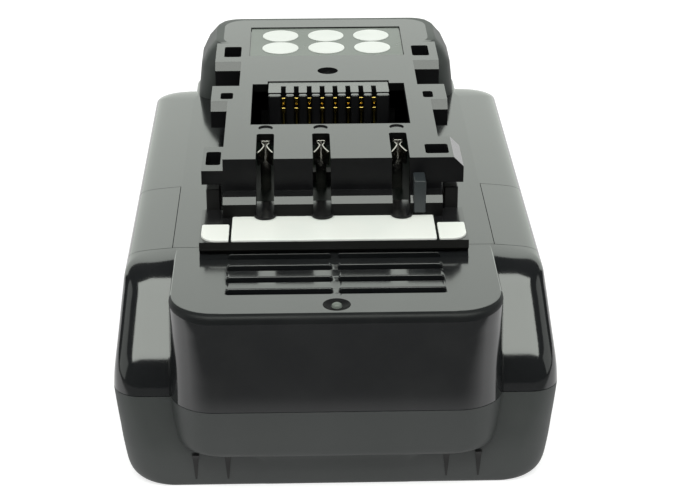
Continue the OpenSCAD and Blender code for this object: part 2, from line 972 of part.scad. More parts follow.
module block_screws() {
    head_h = 2;
    color("dimgray")
        for (x = [-block_screw_x, block_screw_x])
            translate([x, block_screw_y, deck_z - skin - head_h])
                screw(head_h, screw_head_d, screw_d, block_screw_l);
}

module board_screws() {
    head_h = 1.4;
    color("dimgray")
        for (x = [-board_screw_x, board_screw_x])
            translate([x, board_screw_y, board_top + head_h])
                mirror([0, 0, 1])
                    screw(head_h, 2 * board_screw_d, board_screw_d, board_t + skin - 0.2);
}

lower_case();
upper_case();
nose_cap();
panel_left();
panel_right();
contact_block();
slide_strip();
coding_post();
label_plate();
label_discs();
release_button_left();
release_button_right();
latch_left();
latch_right();
button_spring_left();
button_spring_right();
circuit_board();
terminal_positive();
terminal_signal();
terminal_negative();
connector_housing();
connector_contacts();
controller_chip();
power_switches();
thermal_fuse();
cell_lower_1();
cell_lower_2();
cell_lower_3();
cell_lower_4();
cell_lower_5();
cell_upper_1();
cell_upper_2();
cell_upper_3();
cell_upper_4();
cell_upper_5();
cell_frame_left();
cell_frame_right();
link_strips_left();
link_strips_right();
lead_positive();
lead_negative();
thermistor();
case_screws();
block_screws();
board_screws();
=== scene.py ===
"""Looks of a slide-on battery pack for a power tool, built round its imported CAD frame.

Lengths in the classes are millimetres in the part's own frame: X across the pack, Y from the
front box to the rear hood, Z up, origin in the middle of the footprint.
"""
import logging
import math
from collections.abc import Callable
from dataclasses import dataclass, field
from enum import Enum

import bmesh
import bpy
import numpy as np
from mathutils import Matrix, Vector
from mathutils.geometry import delaunay_2d_cdt


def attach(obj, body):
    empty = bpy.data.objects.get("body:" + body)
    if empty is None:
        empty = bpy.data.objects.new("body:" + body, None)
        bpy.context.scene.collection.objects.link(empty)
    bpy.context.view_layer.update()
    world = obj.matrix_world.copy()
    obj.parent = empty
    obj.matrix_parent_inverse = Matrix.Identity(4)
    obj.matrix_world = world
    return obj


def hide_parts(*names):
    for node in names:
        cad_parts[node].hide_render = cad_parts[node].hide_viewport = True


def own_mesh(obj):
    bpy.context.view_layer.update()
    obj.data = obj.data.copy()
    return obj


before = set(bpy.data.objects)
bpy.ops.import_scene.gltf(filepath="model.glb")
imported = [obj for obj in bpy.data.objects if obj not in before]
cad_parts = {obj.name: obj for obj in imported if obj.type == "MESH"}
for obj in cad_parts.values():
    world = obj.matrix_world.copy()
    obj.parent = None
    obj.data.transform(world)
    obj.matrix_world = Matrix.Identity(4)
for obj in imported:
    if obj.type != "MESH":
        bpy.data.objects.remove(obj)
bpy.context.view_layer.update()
LOG = logging.getLogger("battery_pack")
MM = 0.001

# Tolerances, steps, and angles in degrees, that more than one piece uses
SAME_POINT = 1e-7
JOIN_REACH = 0.004
SPAN_STEPS = 9
CRISP_ANGLE = 38.0
FLAT_ANGLE = 0.6
ROUND_FROM = 30.0
ROUND_STEPS = 3
ROUND_CRISP = 40.0
TURNED_CRISP = 60.0

# Places that more than one piece uses
SLOT_X = (-13.5, -2.1, 13.7)
SCREW_PLACES = ((-27.5, -56.0), (27.5, -56.0), (-27.5, 59.0), (27.5, 59.0))
BUTTON_Y = -21.5
BUTTON_Z = 27.0


class Body(Enum):
    """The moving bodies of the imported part."""

    CASE = "case"
    LEFT = "button_left"
    RIGHT = "button_right"


class Side(Enum):
    """The two sides of the pack, as the sign of X."""

    LEFT = -1
    RIGHT = 1

    @property
    def word(self) -> str:
        """The side as it stands in node names."""
        return self.name.lower()

    @property
    def button_body(self) -> Body:
        """The body of this side's release button."""
        return Body.LEFT if self is Side.LEFT else Body.RIGHT


# Surfaces as arrays


def bspline(control: np.ndarray, per_span: int, least: float = 0.08) -> np.ndarray:
    """Uniform cubic B-spline through rows of control values, with both ends tripled.

    Each span is the sum of four neighbouring rows weighted by the cubic basis, so the curve
    never leaves the hull of its control rows and is straight where four rows are in line.

    Args:
        control: one row of values per control point.
        per_span: samples per span.
        least: distance between rows under which samples are left out.

    Returns:
        Sampled rows from the first control row to the last.
    """
    rows = np.vstack([control[:1]] * 2 + [control] + [control[-1:]] * 2)
    t = np.linspace(0.0, 1.0, per_span, endpoint=False)[:, None]
    basis = np.stack([
        (1 - t) ** 3, 3 * t ** 3 - 6 * t ** 2 + 4, -3 * t ** 3 + 3 * t ** 2 + 3 * t + 1, t ** 3,
    ]) / 6.0
    spans = np.stack([rows[i:len(rows) - 3 + i] for i in range(4)])
    samples = np.einsum("kpo,ksc->spc", basis, spans).reshape(-1, control.shape[1])
    step = np.linalg.norm(np.diff(samples, axis=0), axis=1).cumsum()
    apart = np.concatenate([[True], np.diff(np.floor(step / least)) > 0, [False]])
    return np.vstack([samples[:1], samples[1:][apart[1:]], control[-1:]])


def grid_faces(rings: int, points: int, closed: bool = True) -> np.ndarray:
    """Quads between neighbouring rings of a grid of vertices.

    Args:
        rings: number of rings.
        points: vertices in each ring.
        closed: whether each ring joins its end to its start.

    Returns:
        Array of vertex numbers, four per quad.
    """
    i, j = np.meshgrid(np.arange(rings - 1), np.arange(points if closed else points - 1), indexing="ij")
    k = (j + 1) % points
    quads = np.stack([i * points + j, i * points + k, (i + 1) * points + k, (i + 1) * points + j], axis=-1)
    return quads.reshape(-1, 4)


def spread(count: int, ease: float = 0.0) -> np.ndarray:
    """Values from 0 to 1: even steps for an ease of 0, half a cosine wave for an ease of 1."""
    t = np.linspace(0.0, 1.0, count)
    return (1 - ease) * t + ease * (0.5 - 0.5 * np.cos(np.pi * t))


def full_turn(count: int) -> np.ndarray:
    """Even angles once round, without the last, which would meet the first."""
    return np.linspace(0.0, 2 * np.pi, count, endpoint=False)


def rounded_outline(half_x: float, half_y: float, radius: float, steps: int = 6) -> np.ndarray:
    """Closed outline of a rectangle with round corners, four quarter arcs joined by lines.

    Args:
        half_x: half width.
        half_y: half depth.
        radius: corner radius.
        steps: points per corner.

    Returns:
        Points as rows of x, y, anticlockwise.
    """
    angle = np.linspace(0.0, np.pi / 2, steps)[None, :] + np.arange(4)[:, None] * np.pi / 2
    sx = np.array([1, -1, -1, 1])[:, None]
    sy = np.array([1, 1, -1, -1])[:, None]
    x = sx * (half_x - radius) + radius * np.cos(angle)
    y = sy * (half_y - radius) + radius * np.sin(angle)
    return np.stack([x.ravel(), y.ravel()], axis=1)


def offset_outline(outline: np.ndarray, distance: float) -> np.ndarray:
    """Closed outline moved along its own normals, inwards for a positive distance.

    Args:
        outline: points as rows of x, y, anticlockwise.
        distance: how far each point moves to the left of the path.

    Returns:
        The moved points.
    """
    tangent = np.roll(outline, -1, axis=0) - np.roll(outline, 1, axis=0)
    normal = np.stack([-tangent[:, 1], tangent[:, 0]], axis=1)
    normal /= np.maximum(np.linalg.norm(normal, axis=1, keepdims=True), 1e-9)
    return outline + normal * distance


def swept_rim(outline: np.ndarray, profile: np.ndarray) -> tuple[np.ndarray, np.ndarray]:
    """Vertices and quads of a profile of inward offsets and heights carried round an outline."""
    rings = [np.column_stack([offset_outline(outline, d), np.full(len(outline), z)]) for d, z in profile]
    return np.vstack(rings), grid_faces(len(profile), len(outline))


def disc_face(count: int) -> list[list[int]]:
    """One many-sided face over a ring of vertices, as a list."""
    return [list(range(count))]


def plate_with_holes(outline: np.ndarray, holes: list[np.ndarray],
                     z: float) -> tuple[np.ndarray, list[list[int]]]:
    """Flat plate inside an outline and outside its holes, as constrained Delaunay triangles.

    Args:
        outline: outer boundary, anticlockwise.
        holes: boundaries of the holes.
        z: height of the plate.

    Returns:
        Vertices and triangles that face up.
    """
    loops = [outline, *holes]
    starts = np.cumsum([0] + [len(loop) for loop in loops])
    points = np.vstack(loops)
    rings = [list(range(starts[i], starts[i + 1])) for i in range(len(loops))]
    flat = [Vector((float(x), float(y))) for x, y in points]
    made = delaunay_2d_cdt(flat, [], rings, 0, SAME_POINT)
    faces = [list(f) for f, origin in zip(made[2], made[5]) if list(origin) == [0]]
    verts = np.array([(v.x, v.y, z) for v in made[0]])
    return verts, faces


class MeshParts:
    """Collects patches of vertices and faces into one mesh."""

    def __init__(self) -> None:
        """Starts with nothing collected."""
        self.verts: list[np.ndarray] = []
        self.faces: list[list[int]] = []
        self.count = 0

    def add(self, verts: np.ndarray, faces: np.ndarray | list[list[int]], flip: bool = False) -> None:
        """Adds one patch.

        Args:
            verts: rows of x, y, z in millimetres.
            faces: vertex numbers within the patch.
            flip: whether to turn the faces over.
        """
        listed = faces.tolist() if isinstance(faces, np.ndarray) else faces
        self.faces += [[n + self.count for n in (f[::-1] if flip else f)] for f in listed]
        self.verts.append(verts)
        self.count += len(verts)

    def mesh(self, name: str, merge: float = 0.002, sharp: float = CRISP_ANGLE) -> bpy.types.Mesh:
        """Joins the patches.

        Args:
            name: name of the mesh.
            merge: distance in millimetres under which vertices are one.
            sharp: angle in degrees over which an edge stays crisp.

        Returns:
            The mesh in metres, smooth shaded apart from its crisp edges.
        """
        mesh = bpy.data.meshes.new(name)
        mesh.from_pydata((np.vstack(self.verts) * MM).tolist(), [], self.faces)
        work = bmesh.new()
        work.from_mesh(mesh)
        bmesh.ops.remove_doubles(work, verts=work.verts, dist=merge * MM)
        bmesh.ops.dissolve_degenerate(work, edges=work.edges, dist=merge * MM * 0.5)
        work.to_mesh(mesh)
        work.free()
        finish_shading(mesh, sharp)
        return mesh


def finish_shading(mesh: bpy.types.Mesh, sharp: float) -> None:
    """Smooth shades a mesh and keeps its edges over an angle crisp.

    Args:
        mesh: the mesh.
        sharp: the angle in degrees.
    """
    mesh.polygons.foreach_set("use_smooth", np.ones(len(mesh.polygons), dtype=bool))
    mesh.set_sharp_from_angle(angle=math.radians(sharp))
    mesh.update()


def place(name: str, mesh: bpy.types.Mesh, finish: "Finish", body: Body, *nodes: str) -> bpy.types.Object:
    """Puts a mesh in the scene as a piece of the object.

    Args:
        name: name of the piece.
        mesh: its mesh, in place.
        finish: its material.
        body: the body it rides on.
        nodes: the CAD nodes that it stands for.

    Returns:
        The piece.
    """
    piece = bpy.data.objects.new(f"{name}_form", mesh)
    bpy.context.scene.collection.objects.link(piece)
    mesh.materials.clear()
    mesh.materials.append(finish.material())
    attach(piece, body.value)
    if nodes:
        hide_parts(*nodes)
    LOG.info("piece %s: %d faces", name, len(mesh.polygons))
    return piece


# Shader groups


def new_group(name: str, inputs: dict[str, tuple[str, object]],
              outputs: dict[str, str]) -> bpy.types.NodeTree:
    """Makes an empty shader node group with named sockets.

    Args:
        name: name of the group.
        inputs: socket name to socket kind and default.
        outputs: socket name to socket kind.

    Returns:
        The group, with its input and output nodes in it.
    """
    group = bpy.data.node_groups.new(name, "ShaderNodeTree")
    for label, (kind, default) in inputs.items():
        socket = group.interface.new_socket(label, in_out="INPUT", socket_type=kind)
        if default is not None:
            socket.default_value = default
    for label, kind in outputs.items():
        group.interface.new_socket(label, in_out="OUTPUT", socket_type=kind)
    group.nodes.new("NodeGroupInput")
    group.nodes.new("NodeGroupOutput")
    return group


def add_node(tree: bpy.types.NodeTree, kind: str, inputs: dict[str | int, object],
             **settings: object) -> bpy.types.Node:
    """Adds a shader node.

    Args:
        tree: the node tree.
        kind: type of the node.
        inputs: name or number of an input to its value, or to the socket that feeds it.
        settings: properties of the node, set before its inputs.

    Returns:
        The node.
    """
    node = tree.nodes.new(kind)
    for label, value in settings.items():
        setattr(node, label, value)
    for label, value in inputs.items():
        if isinstance(value, bpy.types.NodeSocket):
            tree.links.new(value, node.inputs[label])
        else:
            node.inputs[label].default_value = value
    return node


def noise(tree: bpy.types.NodeTree, vector: bpy.types.NodeSocket, scale: object,
          detail: float) -> bpy.types.NodeSocket:
    """Value of a noise texture, whose scale is a number or a socket."""
    inputs = {"Vector": vector, "Scale": scale, "Detail": detail}
    return add_node(tree, "ShaderNodeTexNoise", inputs).outputs["Fac"]


def remap(tree: bpy.types.NodeTree, value: bpy.types.NodeSocket, low: float, high: float,
          to_low: object, to_high: object) -> bpy.types.NodeSocket:
    """Maps a range of values evenly to another, with both ends held."""
    inputs = {"Value": value, "From Min": low, "From Max": high, "To Min": to_low, "To Max": to_high}
    return add_node(tree, "ShaderNodeMapRange", inputs).outputs["Result"]


def mix_colour(tree: bpy.types.NodeTree, factor: bpy.types.NodeSocket, a: object,
               b: object) -> bpy.types.NodeSocket:
    """Mixes two colours, each a socket or four numbers, by the share of the second."""
    inputs = {"Factor": factor, 6: a, 7: b}
    return add_node(tree, "ShaderNodeMix", inputs, data_type="RGBA").outputs[2]


def grain_group() -> bpy.types.NodeTree:
    """The surface of a moulding: slow changes of gloss and a fine grain, made once.

    Returns:
        The group.
    """
    name = "moulded_grain"
    if name in bpy.data.node_groups:
        return bpy.data.node_groups[name]
    group = new_group(name, {
        "Vector": ("NodeSocketVector", None), "Patch Scale": ("NodeSocketFloat", 60.0),
        "Grain Scale": ("NodeSocketFloat", 2500.0), "Rough Low": ("NodeSocketFloat", 0.1),
        "Rough High": ("NodeSocketFloat", 0.2),
    }, {"Roughness": "NodeSocketFloat", "Height": "NodeSocketFloat"})
    into = group.nodes["Group Input"].outputs
    out = group.nodes["Group Output"].inputs
    patches = noise(group, into["Vector"], into["Patch Scale"], 4.0)
    grain = noise(group, into["Vector"], into["Grain Scale"], 2.0)
    gloss = remap(group, patches, 0.35, 0.65, into["Rough Low"], into["Rough High"])
    group.links.new(gloss, out["Roughness"])
    group.links.new(grain, out["Height"])
    return group


def haze_group() -> bpy.types.NodeTree:
    """Faint cloudy film of dust and handling over a colour, made once.

    Returns:
        The group.
    """
    name = "handling_haze"
    if name in bpy.data.node_groups:
        return bpy.data.node_groups[name]
    group = new_group(name, {
        "Vector": ("NodeSocketVector", None), "Colour": ("NodeSocketColor", (0.02, 0.02, 0.02, 1.0)),
        "Film": ("NodeSocketColor", (0.3, 0.3, 0.28, 1.0)), "Amount": ("NodeSocketFloat", 0.05),
        "Scale": ("NodeSocketFloat", 120.0),
    }, {"Colour": "NodeSocketColor"})
    into = group.nodes["Group Input"].outputs
    out = group.nodes["Group Output"].inputs
    cloud = noise(group, into["Vector"], into["Scale"], 6.0)
    share = remap(group, cloud, 0.45, 0.8, 0.0, into["Amount"])
    group.links.new(mix_colour(group, share, into["Colour"], into["Film"]), out["Colour"])
    return group


# Finishes


@dataclass(frozen=True)
class Finish:
    """A surface: its colour, its gloss and the detail that breaks it up."""

    name: str
    colour: tuple[float, float, float]
    rough: tuple[float, float] = (0.1, 0.2)
    metallic: float = 0.0
    specular: float = 0.5
    coat: float = 0.0
    film: tuple[float, float, float] = (0.3, 0.3, 0.28)
    film_amount: float = 0.03
    film_scale: float = 120.0
    patch_scale: float = 60.0
    grain_scale: float = 2500.0
    grain_depth: float = 0.02
    grain_strength: float = 0.25

    def material(self) -> bpy.types.Material:
        """The finish as a node material, made on first use.

        Returns:
            The material.
        """
        label = f"look_{self.name}"
        if label in bpy.data.materials:
            return bpy.data.materials[label]
        made = bpy.data.materials.new(label)
        made.use_nodes = True
        tree = made.node_tree
        shader = tree.nodes["Principled BSDF"]
        shader.inputs["Metallic"].default_value = self.metallic
        shader.inputs["Specular IOR Level"].default_value = self.specular
        shader.inputs["Coat Weight"].default_value = self.coat
        shader.inputs["Coat Roughness"].default_value = self.rough[0]
        where = tree.nodes.new("ShaderNodeTexCoord").outputs["Object"]
        haze = add_node(tree, "ShaderNodeGroup", {
            "Vector": where, "Colour": (*self.colour, 1.0), "Film": (*self.film, 1.0),
            "Amount": self.film_amount, "Scale": self.film_scale,
        }, node_tree=haze_group())
        tree.links.new(haze.outputs["Colour"], shader.inputs["Base Color"])
        grain = add_node(tree, "ShaderNodeGroup", {
            "Vector": where, "Patch Scale": self.patch_scale, "Grain Scale": self.grain_scale,
            "Rough Low": self.rough[0], "Rough High": self.rough[1],
        }, node_tree=grain_group())
        tree.links.new(grain.outputs["Roughness"], shader.inputs["Roughness"])
        bump = add_node(tree, "ShaderNodeBump", {
            "Strength": self.grain_strength, "Distance": self.grain_depth * MM,
            "Height": grain.outputs["Height"],
        })
        tree.links.new(bump.outputs["Normal"], shader.inputs["Normal"])
        return made


CHARCOAL = Finish("charcoal_plastic", (0.012, 0.013, 0.014), rough=(0.1, 0.15), specular=0.6, coat=1.0,
                  film_amount=0.02)
BLOCK_BLACK = Finish("block_plastic", (0.010, 0.010, 0.011), rough=(0.12, 0.18), specular=0.35, coat=1.0,
                     film_amount=0.02)
# Painted shade: a darker copy of the block plastic with a rougher satin grain, for faces that stand upright
# or look down and for the dimple's dish.
BLOCK_SHADED_SATIN = Finish("block_side_painted_shade", (0.006, 0.006, 0.007), rough=(0.42, 0.52), specular=0.28,
                     film_amount=0.015, grain_scale=3500.0, grain_depth=0.04)
# Painted shade: a near-black matte colour for the walls inside the terminal slots, where shade falls.
SLOT_PAINTED_SHADE = Finish("slot_painted_shade", (0.003, 0.003, 0.003), rough=(0.55, 0.65), specular=0.2, film_amount=0.005)
# Painted light: a lighter satin copy of the block plastic for the front of the ledge, brighter than its
# lighting makes it.
LEDGE_LIT_SATIN = Finish("ledge_painted_light", (0.018, 0.018, 0.017), rough=(0.42, 0.52), specular=0.3, film_amount=0.02)
# Painted shade: the case colour with little gloss, so the nose's brow rounding shows a dark band in place of
# its highlight.
BROW_SHADED_SATIN = Finish("brow_painted_shade", (0.012, 0.013, 0.014), rough=(0.4, 0.5), specular=0.3, film_amount=0.02)
# Painted light: a lighter satin copy of the block plastic for the hood's rounded shell and the open part of
# its front wall.
HOOD_LIT_SATIN = Finish("hood_painted_light", (0.048, 0.055, 0.052), rough=(0.38, 0.48), film_amount=0.03,
                    grain_scale=3500.0, grain_depth=0.05)
LOWER_SATIN = Finish("satin_plastic", (0.058, 0.063, 0.062), rough=(0.4, 0.52), specular=0.6,
                     film_amount=0.03, grain_scale=3500.0, grain_depth=0.05)
BUTTON_BLACK = Finish("button_plastic", (0.009, 0.009, 0.010), rough=(0.3, 0.42), film_amount=0.04)
SLIDE_WHITE = Finish("slide_white", (0.89, 0.9, 0.86), rough=(0.3, 0.5), film=(0.8, 0.85, 0.81),
                     film_amount=0.6, film_scale=90.0)
POST_GREY = Finish("post_grey", (0.032, 0.038, 0.042), rough=(0.25, 0.4))
# Light grey of the label plate, also put on the dimple's nub as a painted highlight.
LABEL_GREY_AND_NUB_HIGHLIGHT = Finish("label_grey_and_nub_highlight", (0.17, 0.19, 0.17), rough=(0.2, 0.3), film_amount=0.05)
DISC_WHITE = Finish("disc_white", (0.8, 0.82, 0.79), rough=(0.35, 0.5), film=(0.6, 0.64, 0.6),
                    film_amount=0.3)
TERMINAL_METAL = Finish("terminal_metal", (0.7, 0.67, 0.62), rough=(0.16, 0.28), metallic=1.0,
                        film=(0.1, 0.09, 0.08), film_amount=0.3)
CONTACT_GOLD = Finish("contact_gold", (0.83, 0.60, 0.16), rough=(0.15, 0.28), metallic=1.0, film_amount=0.02)
CONNECTOR_GREY = Finish("connector_plastic", (0.05, 0.052, 0.05), rough=(0.16, 0.26), specular=0.7, coat=1.0)
STEEL = Finish("plated_steel", (0.5, 0.5, 0.49), rough=(0.25, 0.4), metallic=1.0, film_amount=0.1)
BOARD_MASK = Finish("board_mask", (0.004, 0.008, 0.006), rough=(0.35, 0.5))
CELL_SLEEVE = Finish("cell_sleeve", (0.02, 0.06, 0.16), rough=(0.25, 0.4))
# Inner plastic colour, also used for the dark strips beside the gussets, where it paints shadow.
INNER_BLACK_AND_SHADE = Finish("inner_plastic_and_painted_shade", (0.015, 0.015, 0.015), rough=(0.4, 0.55))


# The case


@dataclass
class CaseForm:
    """Sizes of the case and the outline of its main body joined with the middle box.

    A level is a row of: height; half width, front reach, rear reach and corner radius of the
    main body; half width, front reach, rear reach and corner radius of the middle box.
    """

    half_w: float = 42.4
    reach: float = 68.1
    deck_z: float = 37.9
    parting_z: float = 18.2
    box_half: float = 31.6
    seam: float = 0.14
    skin: float = 1.3
    nose_y: float = -37.0
    panel_rear_y: float = -6.0
    panel_z: float = 20.6
    flat_band: float = 0.35

    def upper_levels(self) -> np.ndarray:
        """Control levels of the upper shell, from the parting line to the deck.

        Returns:
            One row per level.
        """
        w, y, b, z = self.half_w, self.reach, self.box_half, self.parting_z + self.seam / 2
        top = self.deck_z
        rows = [
            [z, w, y - 6.8, y - 1.6, 5.4, b, y, y, 9],
            [z + 1.8, w - 0.1, y - 7.1, y - 1.8, 5.3, b - 0.1, y, y, 9],
            [z + 3.6, w - 0.25, y - 7.8, y - 2.4, 5.2, b - 0.15, y - 0.05, y - 0.05, 9],
            [z + 5.6, w - 0.5, y - 9.2, y - 3.6, 5.1, b - 0.2, y - 0.1, y - 0.1, 9],
            [z + 7.2, w - 0.7, y - 10.8, y - 4.6, 5, b - 0.22, y - 0.12, y - 0.1, 9],
            [z + 9.9, w - 1.0, y - 13.6, y - 6.1, 5, b - 0.25, y - 0.15, y - 0.1, 9],
            [z + 13.1, w - 1.3, y - 16.9, y - 8.1, 5, b - 0.3, y - 0.2, y - 0.12, 8.9],
            [z + 14.7, w - 1.5, y - 18.55, y - 9.1, 5, b - 0.35, y - 0.22, y - 0.14, 8.9],
            [top - 3.25, w - 1.65, y - 20.2, y - 10.1, 5, b - 0.4, y - 0.25, y - 0.16, 8.8],
            [top - 2.3, w - 1.85, y - 21.4, y - 11.0, 5, b - 0.42, y - 0.3, y - 0.18, 8.8],
            [top - 1.5, w - 2.3, y - 22.6, y - 11.7, 5.1, b - 0.45, y - 0.38, y - 0.2, 8.8],
            [top - 0.9, w - 3.4, y - 23.8, y - 12.6, 5.2, b - 0.48, y - 0.55, y - 0.22, 8.7],
            [top - 0.6, w - 4.8, y - 24.6, y - 13.2, 5.4, b - 0.52, y - 0.72, y - 0.24, 8.7],
            [top - 0.35, w - 7.1, y - 25.4, y - 13.8, 5.6, b - 0.58, y - 0.95, y - 0.28, 8.6],
            [top - 0.15, w - 9.2, y - 26.2, y - 14.3, 5.8, b - 0.68, y - 1.25, y - 0.34, 8.5],
            [top, b - 0.2, y - 27.2, y - 14.9, 6, b - 0.9, y - 1.8, y - 0.45, 8.3],
        ]
        return np.array(rows)

    def lower_levels(self) -> np.ndarray:
        """Control levels of the lower shell, from the parting line to the floor.

        Returns:
            One row per level.
        """
        w, y, b, z = self.half_w, self.reach, self.box_half, self.parting_z - self.seam / 2
        rows = [
            [z, w, y - 6.8, y - 1.6, 5.4, b, y, y, 9],
            [z - 4.1, w - 0.5, y - 5.8, y - 1.75, 5.8, b - 0.4, y - 0.55, y - 0.2, 7.8],
            [11.0, w - 0.95, y - 5.1, y - 1.85, 6.2, b - 0.9, y - 1.0, y - 0.35, 6.6],
            [9.4, w - 1.15, y - 4.75, y - 1.9, 6.3, b - 1.5, y - 1.2, y - 0.45, 6.0],
            [8.4, w - 1.28, y - 4.6, y - 1.93, 6.4, b - 2.4, y - 1.4, y - 0.55, 5.6],
            [7.7, w - 1.38, y - 4.5, y - 1.97, 6.4, b - 4.4, y - 1.8, y - 0.8, 5.8],
            [7.3, w - 1.43, y - 4.45, y - 2.0, 6.5, b - 7.2, y - 2.7, y - 1.4, 6.6],
            [7.1, w - 1.46, y - 4.43, y - 2.02, 6.5, b - 10.2, y - 4.4, y - 2.0, 7.6],
            [4.0, w - 1.9, y - 4.2, y - 2.2, 6.8, b - 11.3, y - 4.15, y - 2.15, 8],
            [2.2, w - 2.3, y - 4.2, y - 2.45, 6.9, b - 11.3, y - 4.15, y - 2.4, 8],
            [1.1, w - 2.9, y - 4.22, y - 2.8, 7, b - 11.4, y - 4.17, y - 2.75, 8],
            [0.35, w - 3.7, y - 4.35, y - 3.3, 7, b - 11.4, y - 4.3, y - 3.25, 8],
            [0.0, w - 4.6, y - 4.7, y - 3.9, 7, b - 11.5, y - 4.65, y - 3.85, 7],
        ]
        return np.array(rows)

    @staticmethod
    def quarter(a: np.ndarray, f: np.ndarray, ra: np.ndarray, b: np.ndarray, g: np.ndarray,
                rb: np.ndarray) -> tuple[np.ndarray, np.ndarray]:
        """One quarter of the joined outline, from the middle of an end face to the side.

        The path follows the box's end face, its corner arc and its side, then the main body's
        end face, corner arc and side. Where the box stands out less than its own corner
        radius, its arc stops at the main body's face.

        Args:
            a: half width of the main body.
            f: reach of the main body.
            ra: corner radius of the main body.
            b: half width of the box.
            g: reach of the box.
            rb: corner radius of the box.

        Returns:
            X and reach of each point, one row per level.
        """
        beyond = np.clip(b - (a - ra), 0.0, ra)
        body_at_b = f - ra + np.sqrt(ra ** 2 - beyond ** 2)
        cut = np.arccos(np.clip((f - g + rb) / rb, -1.0, 1.0))
        stop = np.where(g - rb >= body_at_b, np.pi / 2, cut)
        xj = b - rb + rb * np.sin(stop)
        past = np.clip(xj - (a - ra), 0.0, ra)
        yj = f - ra + np.sqrt(ra ** 2 - past ** 2)
        t_face, t_arc = spread(14)[None, :], spread(16)[None, 1:]
        t_side, t_edge = spread(12, 0.8)[None, 1:], spread(10, 0.8)[None, 1:]
        box_turn = t_arc * stop
        side_from = g - rb + rb * np.cos(stop)
        turn0 = np.arcsin(past / ra)
        body_turn = turn0 + spread(20)[None, 1:] * (np.pi / 2 - turn0)
        edge_to = np.maximum(a - ra, xj)
        x = [t_face * (b - rb), b - rb + rb * np.sin(box_turn), xj + 0 * t_side,
             xj + t_edge * (edge_to - xj), a - ra + ra * np.sin(body_turn), a * np.ones_like(t_face[:, 1:])]
        y = [g + 0 * t_face, g - rb + rb * np.cos(box_turn), side_from + t_side * (yj - side_from),
             yj + 0 * t_edge, f - ra + ra * np.cos(body_turn), (f - ra) * (1 - t_face[:, 1:])]
        return np.concatenate(x, axis=1), np.concatenate(y, axis=1)

    def rings(self, levels: np.ndarray) -> np.ndarray:
        """Closed outlines of the joined form at many levels.

        Args:
            levels: one row per level.

        Returns:
            Points as rings, anticlockwise seen from above.
        """
        z, a, f, r, ra, b, g, h, rb = [levels[:, i:i + 1] for i in range(9)]
        xf, yf = self.quarter(a, f, ra, b, g, rb)
        xr, yr = self.quarter(a, r, ra, b, h, rb)
        right_x = np.concatenate([xf, xr[:, -2::-1]], axis=1)
        right_y = np.concatenate([-yf, yr[:, -2::-1]], axis=1)
        x = np.concatenate([right_x, -right_x[:, -2:0:-1]], axis=1)
        y = np.concatenate([right_y, right_y[:, -2:0:-1]], axis=1)
        return np.stack([x, y, z + 0 * x], axis=-1)

    def wall(self, levels: np.ndarray, parts: MeshParts, flip: bool = False) -> np.ndarray:
        """Adds the wall of a shell and a narrow flat band inside its last level.

        Args:
            levels: control levels of the shell.
            parts: where it is added.
            flip: whether to turn the faces over.

        Returns:
            Inner outline of the band.
        """
        rings = self.rings(bspline(levels, SPAN_STEPS))
        points = rings.shape[1]
        parts.add(rings.reshape(-1, 3), grid_faces(len(rings), points), flip)
        edge = rings[-1, :, :2]
        inner = offset_outline(edge, self.flat_band)
        height = np.full(points, levels[-1, 0])
        band = np.vstack([np.column_stack([loop, height]) for loop in (edge, inner)])
        parts.add(band, grid_faces(2, points), flip)
        return inner


@dataclass
class Vents:
    """Louvre slots in the nose, on either side of the middle rib."""

    half: float = 20.5
    rib: float = 1.4
    pitch: float = 5.2
    slot: float = 2.2
    first_y: float = -41.6
    count: int = 4
    lip: float = 0.3
    depth: float = 1.6
    corner: float = 0.5

    def outlines(self) -> list[np.ndarray]:
        """Outlines of all slots, anticlockwise.

        Returns:
            One outline per slot.
        """
        half_x = (self.half - self.rib / 2) / 2
        centre_x = (self.half + self.rib / 2) / 2
        base = rounded_outline(half_x, self.slot / 2, self.corner)
        return [base + [side.value * centre_x, self.first_y - i * self.pitch]
                for i in range(self.count) for side in Side]

    def rim(self, z: float) -> np.ndarray:
        """Profile of a slot's edge: a quarter round over the lip and a wall down from it.

        Args:
            z: height of the deck.

        Returns:
            Rows of inward offset and height.
        """
        turn = np.linspace(0.0, np.pi / 2, 5)
        inward, up = self.lip * np.sin(turn), self.lip * np.cos(turn)
        round_over = np.column_stack([-self.lip + inward, z - self.lip + up])
        return np.vstack([round_over, [[0.0, z - self.depth]]])


